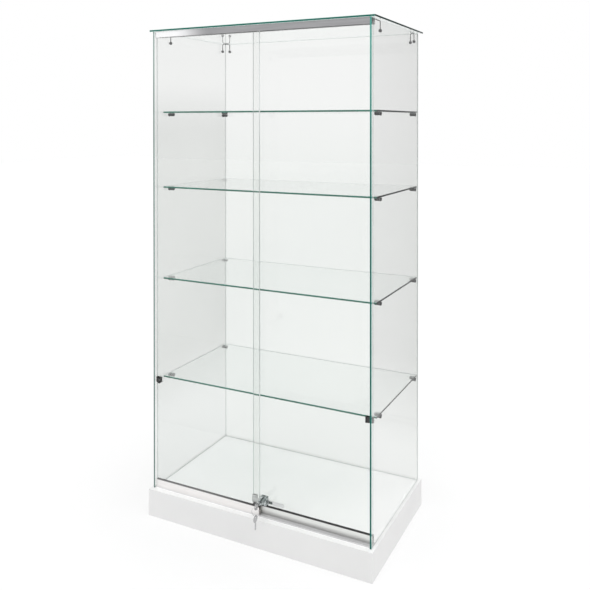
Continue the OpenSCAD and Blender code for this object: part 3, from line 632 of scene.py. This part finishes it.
# A finished object from one or more shapes; a shape's face kinds pick among the finishes
def makePiece(name, shapes, body, look, replaced=(), weighted=True, sharpDegrees=32):
    verts, faces, picks, base = [], [], [], 0
    for points, shapeFaces, kinds in shapes:
        verts.append(points)
        faces += [[base + i for i in face] for face in shapeFaces]
        picks += kinds
        base += len(points)
    mesh = bpy.data.meshes.new(name)
    mesh.from_pydata(np.concatenate(verts).tolist(), [], faces)
    if not isinstance(look, dict):
        look = {"rest": look}
    used = list(dict.fromkeys(look.values()))
    for finishName in used:
        mesh.materials.append(finishes[finishName])
    places = {kind: used.index(finishName) for kind, finishName in look.items()}
    mesh.polygons.foreach_set("material_index", [places.get(k, places.get("rest", 0)) for k in picks])
    work = bmesh.new()
    work.from_mesh(mesh)
    bmesh.ops.remove_doubles(work, verts=work.verts, dist=weldDistance)
    bmesh.ops.dissolve_degenerate(work, edges=work.edges, dist=weldDistance)
    bmesh.ops.recalc_face_normals(work, faces=work.faces)
    work.to_mesh(mesh)
    work.free()
    mesh.polygons.foreach_set("use_smooth", np.ones(len(mesh.polygons), bool))
    mesh.set_sharp_from_angle(angle=radians(sharpDegrees))
    piece = addObject(name, mesh)
    if weighted:
        modifier = piece.modifiers.new("flatFacesStayFlat", "WEIGHTED_NORMAL")
        modifier.keep_sharp = True
    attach(piece, body)
    if replaced:
        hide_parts(*replaced)
    return piece


# Glass panels

paneShape = inMm(arris=0.7, jointGap=0.15)


# A pane carried through its thickness: its ends are the clear faces and its band the ground
# edge, whose sides may differ, keyed as in carried()
def makePane(name, node, thinAxis, body, glass, edges, drawnIn=(0, 0)):
    low, high = nodeBox(node)
    a, b, c = axisOrder[thinAxis]
    corners = rectangle((low[a] + drawnIn[0], low[b] + drawnIn[1]),
                        (high[a] - drawnIn[0], high[b] - drawnIn[1]))
    loop = easedLoop(corners, paneShape["arris"], steps=2)
    shape = carried(loop, low[c], high[c], thinAxis, paneShape["arris"], steps=1)
    return makePiece(name, [shape], body, {0: glass, **edges}, [node],
                     weighted=False, sharpDegrees=20)


# The side panels' front edges: painted light, paler toward the top, and a painted highlight in a band near
# one face of the pane, the inner face on the left and the outer face on the right
gap = paneShape["jointGap"]
innerFace = nodeBox("glass_left")[1][0]
glassEdge("leftFrontEdge", (0.02, 0.065, 0.052), (0.05, 0.1, 0.086), [
    (up, 1.5, 1.75, (0.2, 0.27, 0.25)),
    (rightward, innerFace - 2.4 * mm, innerFace - 0.9 * mm, (0.4, 0.54, 0.51))])
innerFace = nodeBox("glass_right")[0][0]
glassEdge("rightFrontEdge", (0.001, 0.07, 0.052), (0.005, 0.1, 0.078), [
    (up, 1.25, 1.78, (0.1, 0.36, 0.3)),
    (rightward, innerFace + 3.8 * mm, innerFace + 5.6 * mm, (0.05, 0.28, 0.235))])
# The right pane's front arris takes a painted highlight
# The side and back panes' bottom edges take the joint line with its painted contact shadow
for side, arris in (("left", "leftFrontEdge"), ("right", "sideArrisPaintedHighlight")):
    makePane(f"{side}SidePanel", f"glass_{side}", "x", "case", f"{side}Glass",
             {"rest": "paleEdge", 1: f"{side}FrontEdge", 11: arris, 3: "deckJointAndShadow", 13: "deckJointAndShadow"},
             (0, gap))
makePane("backPanel", "glass_back", "y", "case", "backGlass",
         {"rest": "paleEdge", 3: "deckJointAndShadow", 13: "deckJointAndShadow"}, (gap, gap))
# The top panel's and shelves' front arrises take painted highlights
makePane("topPanel", "glass_top", "z", "case", "flatGlass",
         {"rest": "topSideEdge", 3: "topEdge", 13: "topArrisPaintedHighlight"})
for number in range(1, 5):
    makePane(f"shelf{number}", f"shelf_{number}", "z", "case", "flatGlass",
             {"rest": "shelfSideEdge", 3: "shelfEdge", 13: "shelfArrisPaintedHighlight", 4: "jointEdge", 14: "jointEdge"})
makePane("outerDoorPane", "outer_door_glass", "y", "outer_door", "doorGlass",
         {"rest": "paleEdge", 2: "outerDoorEdge", 12: "outerDoorEdge"})
makePane("innerDoorPane", "inner_door_glass", "y", "inner_door", "doorGlass",
         {"rest": "paleEdge", 1: "innerDoorEdge", 11: "innerDoorEdge"})
print("glass ready")


# Plinth boards

boardShape = inMm(edge=0.6, joint=0.08)


def makeBoard(name, node, axis):
    low, high = nodeBox(node)
    a, b, c = axisOrder[axis]
    ease, joint = boardShape["edge"], boardShape["joint"]
    loop = easedLoop(rectangle((low[a], low[b]), (high[a], high[b])), ease)
    shape = carried(loop, low[c] + joint, high[c] - joint, axis, ease)
    return makePiece(name, [shape], "case", "whiteLaminate", [node])


for side, axis in (("front", "x"), ("back", "x"), ("left", "y"), ("right", "y")):
    makeBoard(f"{side}Board", f"plinth_{side}", axis)
print("plinth ready")


# Shelf supports and their pads

supportShape = {
    "points": 28,
    **inMm(length=22, flange=3, radius=7, flangeRadius=8, flat=4, endRound=1.4, flangeRound=0.5,
           padWidth=9, padHeight=1, padLength=18, padRound=0.3),
}


# A circle cut flat on top
def cutCircle(radius, flat, count):
    start = asin(flat / radius)
    return arc(radius, pi - start, 2 * pi + start, count)


def makeSupports():
    low, high = nodeBox("shelf_supports")
    padStart = nodeBox("shelf_pads")[0][0]
    look = supportShape
    wall = low[0]
    supports, pads = [], []
    for number in range(1, 5):
        underside = nodeBox(f"shelf_{number}")[0][2]
        axisZ = underside - look["padHeight"] - look["flat"]
        for y in (low[1] + look["flangeRadius"], high[1] - look["flangeRadius"]):
            rod = cutCircle(look["radius"], look["flat"], look["points"]) + (y, axisZ)
            rim = cutCircle(look["flangeRadius"], look["flat"], look["points"]) + (y, axisZ)
            body = carried(rod, wall, wall + look["length"], "x", look["endRound"])
            points, faces, kinds = carried(rim, wall, wall + look["flange"], "x", look["flangeRound"])
            plate = (points, faces, ["flange"] * len(faces))
            half = look["padWidth"] / 2
            sheet = easedLoop(rectangle((y - half, underside - look["padHeight"]), (y + half, underside)),
                              look["padRound"])
            pad = carried(sheet, padStart, padStart + look["padLength"], "x", look["padRound"])
            supports += [body, plate, mirrored(body), mirrored(plate)]
            pads += [pad, mirrored(pad)]
    # The rods carry painted dark reflections, the flanges a painted highlight
    makePiece("shelfSupports", supports, "case",
              {"rest": "supportChromePaintedDarkReflection", "flange": "flangeChromePaintedHighlight"}, ["shelf_supports"], sharpDegrees=40)
    makePiece("supportPads", pads, "case", "clearPad", ["shelf_pads"])


makeSupports()
print("supports ready")


# Corner clips: bent wires whose legs end in balls bonded to the glass

clipShape = {"legPoint": 0.6, "runPoint": 0.5, "bendPoints": 9, "ballPoints": 14, "ballSides": 24,
             **inMm(wire=1.5, bend=6, ball=6, cut=1.5, seat=1, drop=32, reach=26)}


# The path in the clip's own upright plane: up a leg, round the bend, along the run and, if the
# clip has a second leg, down again
def clipPath(length, secondLeg):
    bend, count = clipShape["bend"], clipShape["bendPoints"]
    legEnd = clipShape["ball"] - clipShape["seat"] - clipShape["drop"]
    leg = np.array([(0, legEnd), (0, legEnd * clipShape["legPoint"])])
    parts = [leg, arc(bend, pi, pi / 2, count, (bend, -bend))]
    if secondLeg:
        parts += [arc(bend, pi / 2, 0, count, (length - bend, -bend)), leg[::-1] + (length, 0)]
    else:
        parts.append([(length * clipShape["runPoint"], 0), (length, 0)])
    return np.concatenate(parts)


def clipWire(corner, direction, length, secondLeg):
    path = clipPath(length, secondLeg)
    along = np.array([*direction, 0.0])
    upright = np.array([0, 0, 1.0])
    points = np.array(corner) + path[:, :1] * along + path[:, 1:] * upright
    return wire(points, clipShape["wire"], np.cross(along, upright))


# A ball cut flat at the glass, turned round an axis that points away from it
def clipBall(place, axis, toward):
    radius = clipShape["ball"]
    off = radius - clipShape["cut"]
    t = np.linspace(asin(off / radius), -pi / 2, clipShape["ballPoints"])
    a, b, c = axisOrder[axis]
    profile = np.stack([radius * np.cos(t), place[c] + toward * (off - radius * np.sin(t))], 1)
    profile = np.concatenate([[(0, place[c])], profile])
    return turned(profile, (place[a], place[b]), axis, clipShape["ballSides"])


def makeClips():
    low, high = nodeBox("back_corner_clips")
    frontLow, frontHigh = nodeBox("front_corner_clips")
    padLow, padHigh = nodeBox("clip_pads")
    look = clipShape
    off = look["ball"] - look["cut"]
    sideIn, backIn = padLow[0], padHigh[1]
    backZ, frontZ = high[2] - look["wire"], frontHigh[2] - look["wire"]
    legY, frontY = backIn - look["reach"], frontHigh[1] - look["wire"]
    slant = 0.5 ** 0.5
    back = clipWire((sideIn + off, legY, backZ), (slant, slant), (look["reach"] - off) / slant, True)
    front = clipWire((sideIn + off, frontY, frontZ), (0, -1), frontY - frontLow[1], False)
    balls = [clipBall((sideIn, legY, backZ - look["drop"]), "x", 1),
             clipBall((sideIn + look["reach"], backIn, backZ - look["drop"]), "y", -1),
             clipBall((sideIn, frontY, frontZ - look["drop"]), "x", 1)]
    balls += [mirrored(ball) for ball in balls]
    # The wires and balls carry painted dark reflections
    for name, node, shapes, slot, finishName in (
            ("backCornerClips", "back_corner_clips", [back, mirrored(back)], "clip_wire", "wireChromePaintedDarkReflection"),
            ("frontCornerClips", "front_corner_clips", [front, mirrored(front)], "clip_wire", "wireChromePaintedDarkReflection"),
            ("clipBalls", "clip_pads", balls, "clip_pad", "padChromePaintedDarkReflection")):
        makePiece(name, shapes, "case", finishName, [node], weighted=False, sharpDegrees=50)


makeClips()
print("clips ready")


# Door tracks

trackShape = inMm(wall=1.2, web=1.5, lane=12.8, rail=2, railHeight=3, ease=0.35, endEase=0.2)
screwShape = {
    "count": 5, "rimRise": 0.7, "shank": 0.55,
    **inMm(head=2.4, dome=0.25, recess=1.1, recessFloor=0.5, recessFoot=0.02, rim=0.3, cone=13, tip=1),
}


def makeTracks():
    look = trackShape
    wall, web, lane = look["wall"], look["web"], look["lane"]
    low, high = nodeBox("top_channel")
    z0, z1 = low[2], high[2]
    walls = low[1] + np.arange(3) * (lane + wall)
    corners = []
    for start, following in zip(walls, walls[1:]):
        corners += [(start, z0), (start + wall, z0), (start + wall, z1 - web), (following, z1 - web)]
    corners += [(walls[2], z0), (walls[2] + wall, z0), (walls[2] + wall, z1), (walls[0], z1)]
    shape = carried(easedLoop(corners, look["ease"], steps=2), low[0], high[0], "x", look["endEase"], steps=1)
    # The outer faces carry painted reflections, the faces turned inward and down painted light
    makePiece("topChannel", [shape], "case",
              {"rest": "channelAluminiumPaintedReflection", 2: "channelInsidePaintedLight", 3: "channelInsidePaintedLight", 13: "channelInsidePaintedLight"},
              ["top_channel"])
    low, high = nodeBox("bottom_track")
    z0, z1 = low[2], high[2]
    bed, railTop, half = z0 + web, z0 + web + look["railHeight"], look["rail"] / 2
    corners = [(walls[0], z0), (walls[2] + wall, z0), (walls[2] + wall, z1)]
    for number in (1, 0):
        middle = walls[number] + wall + lane / 2
        corners += [(walls[number + 1], z1), (walls[number + 1], bed), (middle + half, bed),
                    (middle + half, railTop), (middle - half, railTop), (middle - half, bed),
                    (walls[number] + wall, bed), (walls[number] + wall, z1)]
    corners.append((walls[0], z1))
    shape = carried(easedLoop(corners, look["ease"], steps=2), low[0], high[0], "x", look["endEase"], steps=1)
    makePiece("bottomTrack", [shape], "case", "trackAluminiumPaintedShade", ["bottom_track"])
    look = screwShape
    low, high = nodeBox("bottom_track_screws")
    y, foot = (low[1] + high[1]) / 2, low[2]
    head, dome, recess, shank = look["head"], look["dome"], look["recess"], look["head"] * look["shank"]
    profile = [(0, bed - look["recessFloor"]), (recess, bed + look["recessFoot"]), (recess, bed + dome),
               (head - look["rim"], bed + dome * look["rimRise"]), (head, bed), (shank, foot + look["cone"]),
               (shank, foot + look["tip"]), (0, foot)]
    reach = high[0] - head
    screws = [turned(profile, (x, y), "z", sides=24) for x in np.linspace(-reach, reach, look["count"])]
    makePiece("trackScrews", screws, "case", "zincSteel", ["bottom_track_screws"])


makeTracks()
print("tracks ready")


# Shoes, gaskets, guides and pulls of both doors; the eases of a pull's corners are in
# millimetres

doorShape = {
    "pullEases": (0.9, 1.8, 1.2, 1.2, 0.2, 0.2, 0.2, 0.2, 0.9, 0.9),
    **inMm(paneHalf=3, shoeWall=1.2, groove=11, shoeEase=0.45, shoeEnd=0.25, lip=0.2, lipHeight=1,
           gasketEase=0.3, beadEase=1.1, guideLength=24, guideEase=0.9, guideEnd=0.5, pullWall=2, ridge=3,
           pullEase=0.9),
}


def makeDoorFittings(door):
    look = doorShape
    wall, half = look["shoeWall"], look["paneHalf"]
    body = f"{door}_door"
    paneLow, paneHigh = nodeBox(f"{body}_glass")
    y = (paneLow[1] + paneHigh[1]) / 2

    low, high = nodeBox(f"{body}_shoe")
    grooveLow, shoeTop = high[2] - look["groove"], high[2]
    a, b = low[1] + wall, high[1] - wall
    corners = [(low[1], low[2]), (a, low[2]), (a, grooveLow - wall), (b, grooveLow - wall), (b, low[2]),
               (high[1], low[2]), (high[1], shoeTop), (b, shoeTop), (b, grooveLow), (a, grooveLow),
               (a, shoeTop), (low[1], shoeTop)]
    loop = easedLoop(corners, look["shoeEase"], steps=3)
    shape = carried(loop, low[0], high[0], "x", look["shoeEnd"], steps=1)
    # The inner door's shoe finish carries painted shade toward its foot
    makePiece(f"{door}DoorShoe", [shape], body,
              {"rest": f"{door}ShoeAluminium", 0: "housingPlastic"}, [f"{body}_shoe"])

    low, high = nodeBox(f"{body}_gasket")
    lip, foot = look["lip"], shoeTop + look["lipHeight"]
    corners = [(low[1] + lip, shoeTop), (a, shoeTop), (a, low[2]), (b, low[2]), (b, shoeTop),
               (high[1] - lip, shoeTop), (high[1], foot), (high[1], high[2]), (y + half, high[2]),
               (y + half, paneLow[2]), (y - half, paneLow[2]), (y - half, high[2]), (low[1], high[2]),
               (low[1], foot)]
    ease = np.full(len(corners), look["gasketEase"])
    ease[[7, 12]] = look["beadEase"]
    loop = easedLoop(corners, ease, steps=4)
    shape = carried(loop, low[0], high[0], "x", look["gasketEase"], steps=1)
    makePiece(f"{door}DoorGasket", [shape], body, "gasketRubberPaintedLight", [f"{body}_gasket"])

    low, high = nodeBox(f"{body}_guides")
    corners = [(low[1], low[2]), (y - half, low[2]), (y - half, paneHigh[2]), (y + half, paneHigh[2]),
               (y + half, low[2]), (high[1], low[2]), (high[1], high[2]), (low[1], high[2])]
    loop = easedLoop(corners, look["guideEase"], steps=3)
    length = look["guideLength"]
    caps = [carried(loop, x, x + length, "x", look["guideEnd"], steps=2)
            for x in (low[0], high[0] - length)]
    makePiece(f"{door}DoorGuides", caps, body, "whiteNylon", [f"{body}_guides"])

    low, high = nodeBox(f"{body}_pull")
    side, wall = (-1 if door == "outer" else 1), look["pullWall"]
    outside, inside = (low[0], high[0]) if side < 0 else (high[0], low[0])
    edge, ridgeEnd = outside - side * wall, inside + side * look["ridge"]
    face, back = y - half - wall, high[1]
    corners = [(outside, face), (ridgeEnd, face), (ridgeEnd, low[1]), (inside, low[1]), (inside, y - half),
               (edge, y - half), (edge, y + half), (inside, y + half), (inside, back), (outside, back)]
    loop = easedLoop(corners, np.array(look["pullEases"]) * mm, steps=5)
    shape = carried(loop, low[2], high[2], "z", look["pullEase"], steps=3)
    makePiece(f"{door}DoorPull", [shape], body, "blackPlastic", [f"{body}_pull"])


for door in ("outer", "inner"):
    makeDoorFittings(door)
print("door fittings ready")


# Rollers: grooved brass wheels with eased rims

rollerShape = inMm(bore=1.55, run=5.5, groove=1.3, ease=0.35, dish=1.6)


def makeRoller(name, node):
    low, high = nodeBox(node)
    middle = ((low[0] + high[0]) / 2, (low[2] + high[2]) / 2)
    rim, y, half = (high[0] - low[0]) / 2, (low[1] + high[1]) / 2, (high[1] - low[1]) / 2
    bore, run, groove, ease, dish = rollerShape.values()
    profile = np.array([
        (bore, -half), (bore + dish, -half), (bore + dish + ease, -half + ease), (rim - dish, -half + ease),
        (rim - dish + ease, -half), (rim - ease, -half), (rim, -half + ease), (rim, -groove - ease),
        (rim - ease, -groove), (run, -groove)])
    profile = np.concatenate([profile, profile[::-1] * (1, -1), profile[:1]]) + (0, y)
    makePiece(name, [turned(profile, middle, "y", sides=48)], node, "turnedBrass", [node])


for door in ("outer", "inner"):
    for side in ("left", "right"):
        makeRoller(f"{door}Roller{side.title()}", f"{door}_roller_{side}")
print("rollers ready")


# Lock: bent hook with its toothed bar, case with barrel, plug

# In millimetres too: the eases of the case's corners, and the barrel's rim as steps in from its
# radius and back from its face
lockShape = {
    "teeth": 13, "caseEases": (3, 0.6, 0.6, 2.2),
    "barrelRim": ((0.7, 0), (0.2, 0.25), (0, 0.8), (0, 2.6), (0.25, 2.8), (0.25, 3.4), (0, 3.6)),
    **inMm(sheet=2, hookLength=16, hookEase=1.2, bendEase=0.3, hookSide=0.4, barHeight=13, barEase=0.15,
           barFoot=0.6, barCorner=3, barStart=0.8, pitch=3, toothDepth=0.8, toothGap=2.4, toothEnd=2,
           toothEase=0.15, tipEase=0.1, inlayCorner=0.8, inlayProud=0.1, inlayEase=0.25, slide=0.3,
           slotEase=0.3, caseDepth=11, caseEase=1.2, barrel=9, barrelRoot=1, boreLip=0.3, boreEase=0.25,
           plug=7.5, play=0.05, dish=0.25, dishRadius=4.6, dishEdge=4.9, plugEase=0.5,
           slitHalfWidth=1.3, slitHalfHeight=3.5, slitEase=0.6, slitTop=0.2, slitBottom=2, slitEnd=0.05),
}


# Returns the bar's low and high (y, z)
def makeHookBar():
    look = lockShape
    low, high = nodeBox("lock_hook_bar")
    paneLow, paneHigh = nodeBox("inner_door_glass")
    hookEnd = paneLow[0] + look["hookLength"]
    barFront, barBack = low[1], low[1] + look["sheet"]
    corners = [(low[0], barBack), (hookEnd, barBack), (hookEnd, paneLow[1]), (paneLow[0], paneLow[1]),
               (paneLow[0], paneHigh[1]), (hookEnd, paneHigh[1]), (hookEnd, high[1]), (low[0], high[1])]
    ease = np.array([look["hookEase"]] + [look["bendEase"]] * 6 + [look["hookEase"]])
    hook = carried(easedLoop(corners, ease, steps=5), low[2], high[2], "z", look["hookSide"], steps=2)

    middle = (low[2] + high[2]) / 2
    z0, z1 = middle - look["barHeight"] / 2, middle + look["barHeight"] / 2
    first = high[0] - look["teeth"] * look["pitch"] - look["toothEnd"]
    corners = [(low[0], z0), (high[0], z0), (high[0], z1)]
    ease = [look["barFoot"], look["barCorner"], look["barStart"]]
    for number in reversed(range(look["teeth"])):
        x = first + number * look["pitch"]
        corners += [(x + look["toothGap"], z1), (x, z1 - look["toothDepth"]), (x, z1)]
        ease += [look["toothEase"], look["tipEase"], look["tipEase"]]
    corners.append((low[0], z1))
    ease.append(look["barFoot"])
    inlayLow, inlayHigh = nodeBox("lock_bar_inlay")
    window = easedLoop(rectangle(inlayLow[[0, 2]], inlayHigh[[0, 2]]), look["inlayCorner"])
    outline = easedLoop(corners, np.array(ease), steps=3)
    bar = carriedWithOpenings([outline, window], barFront, barBack, "y", look["barEase"])
    makePiece("lockHookBar", [hook, bar], "inner_door", "satinSteel", ["lock_hook_bar"])
    proud = look["inlayProud"]
    fill = carried(window, inlayLow[1] - proud, inlayHigh[1] + proud, "y", look["inlayEase"], steps=2)
    makePiece("lockBarInlay", [fill], "inner_door", "inlayDark", ["lock_bar_inlay"])
    return np.array([barFront, z0]), np.array([barBack, z1])


def makeLockCase(barLow, barHigh):
    look = lockShape
    low, high = nodeBox("lock_case")
    plugLow, plugHigh = nodeBox("lock_plug")
    middle = ((plugLow[0] + plugHigh[0]) / 2, (plugLow[2] + plugHigh[2]) / 2)
    caseFront = barLow[0] - look["caseDepth"]
    outline = easedLoop(rectangle((caseFront, low[2]), (high[1], high[2])),
                        np.array(look["caseEases"]) * mm, steps=6)
    slot = easedLoop(rectangle(barLow - look["slide"], barHigh + look["slide"]), look["slotEase"], steps=6)
    block = carriedWithOpenings([outline, slot], low[0], high[0], "x", look["caseEase"], steps=3)
    r, bore, y = look["barrel"], look["plug"] + look["play"], low[1]
    lip, root = (bore, y + look["boreLip"]), caseFront + look["barrelRoot"]
    rim = [(r - inward * mm, y + back * mm) for inward, back in look["barrelRim"]]
    profile = [lip, (bore + look["boreEase"], y), *rim, (r, root), (bore, root), lip]
    barrel = turned(profile, middle, "y", sides=56)
    # The case and plug carry the painted reflection streaks
    makePiece("lockCase", [block, barrel], "lock", "lockChromePaintedStreaks", ["lock_case"])

    r, y, ease, dish = look["plug"], plugLow[1], look["plugEase"], look["dish"]
    profile = [(0, y + dish), (look["dishRadius"], y + dish), (look["dishEdge"], y), (r - ease, y),
               (r, y + ease), (r, plugHigh[1]), (0, plugHigh[1])]
    plug = turned(profile, middle, "y", sides=48)
    # The keyway is a dark solid just inside the plug's face, as painted shade in the hole
    reach = np.array((look["slitHalfWidth"], look["slitHalfHeight"]))
    slit = easedLoop(rectangle(middle - reach, middle + reach), look["slitEase"])
    top, bottom = y + look["slitTop"], y + look["slitBottom"]
    points, faces, kinds = carried(slit, top, bottom, "y", look["slitEnd"], steps=1)
    keyway = (points, faces, ["slit"] * len(faces))
    makePiece("lockPlug", [plug, keyway], "key", {"rest": "lockChromePaintedStreaks", "slit": "keyholePaintedShade"},
              ["lock_plug"])


makeLockCase(*makeHookBar())
print("lock ready")


# Keys and their split ring

keyShape = {
    "notches": 5, "bowPoints": 60, "holePoints": 40,
    **inMm(thick=1.8, hole=3.4, holeOff=6, halfBlade=3, bladeLength=27, root=1, pitch=2.4, depth=0.8,
           ease=0.3, notchEase=0.15, rootEase=0.1, tipHalf=1.2, tipLow=1.3, tipHigh=1.8),
}


# A key in its own plane: u runs from the bow's middle to the tip, v across the blade
def keyLoops(bow):
    look = keyShape
    half, depth = look["halfBlade"], look["depth"]
    tip = bow - look["root"] + look["bladeLength"]
    meet = asin(half / bow)
    corners, ease = [(0, -half)], [look["rootEase"]]
    for number in reversed(range(look["notches"])):
        u = tip - look["pitch"] * (number + 1)
        corners += [(u - depth, -half), (u, depth - half), (u + depth, -half)]
        ease += [look["notchEase"]] * 3
    blunt = look["tipHalf"]
    corners += [(tip - look["tipLow"], -half), (tip, -blunt), (tip, blunt), (tip - look["tipHigh"], half),
                (0, half)]
    ease += [look["ease"]] * 4 + [look["rootEase"]]
    steps = 2
    blade = easedLoop(corners, np.array(ease), steps)[steps + 1:-steps - 1]
    hole = arc(look["hole"], 0, 2 * pi, look["holePoints"], (-look["holeOff"], 0), closed=True)
    return np.concatenate([arc(bow, meet, 2 * pi - meet, look["bowPoints"]), blade]), hole


def makeKeys():
    half = keyShape["thick"] / 2
    low, high = nodeBox("lock_key")
    bow, x = (high[2] - low[2]) / 2, (low[0] + high[0]) / 2
    level = [loop + (low[1] + bow, low[2] + bow) for loop in keyLoops(bow)]
    low, high = nodeBox("spare_key")
    turn = np.array([[0, -1], [1, 0]])
    hanging = [loop @ turn + (low[1] + bow, high[2] - bow) for loop in keyLoops(bow)]
    for name, node, body, loops in (("lockKey", "lock_key", "key", level),
                                    ("spareKey", "spare_key", "spare_key", hanging)):
        shape = carriedWithOpenings(loops, x - half, x + half, "x", keyShape["ease"])
        makePiece(name, [shape], body, "keyNickel", [node])


ringShape = {"cutAngle": 0.5, "shiftAngle": 0.45, "fill": 0.98, "points": 161}


# Two turns of wire side by side, x = R cos t, z = R sin t, with the change of side at t = 2 pi
def makeKeyRing():
    low, high = nodeBox("key_ring")
    middle, half = (low + high) / 2, (high - low) / 2
    thin, radius = half[1] / 2, half[0] - half[1]
    cut = ringShape["cutAngle"]
    t = np.linspace(cut, 4 * pi - cut, ringShape["points"])
    side = thin * np.sin(np.clip((t - 2 * pi) / ringShape["shiftAngle"], -1, 1) * pi / 2)
    path = middle + np.stack([radius * np.cos(t), side, radius * np.sin(t)], 1)
    turns = wire(path, thin * ringShape["fill"], (0, 1, 0), sides=10)
    makePiece("keyRing", [turns], "key_ring", "keyNickel", ["key_ring"], weighted=False,
              sharpDegrees=50)


makeKeys()
makeKeyRing()
print("keys ready")


carriedOver = [
    # the deck's laminate carries painted light
    ("deckLaminatePaintedLight", ["plinth_deck"]),
    ("sawnTimber", ["plinth_stretcher", "plinth_cleats", "plinth_corner_blocks"]),
    ("zincSteel", ["corner_screws", "deck_screws", "leveller_studs", "leveller_inserts",
                   "outer_roller_axles", "inner_roller_axles"]),
    ("footPlastic", ["leveller_pads"]),
    ("foamTape", ["top_channel_tape"]),
    ("housingPlastic", ["outer_roller_housings", "inner_roller_housings"]),
]
for finishName, nodes in carriedOver:
    for node in nodes:
        for place in cadNodes[node].material_slots:
            place.material = finishes[finishName]
print("carried nodes ready")
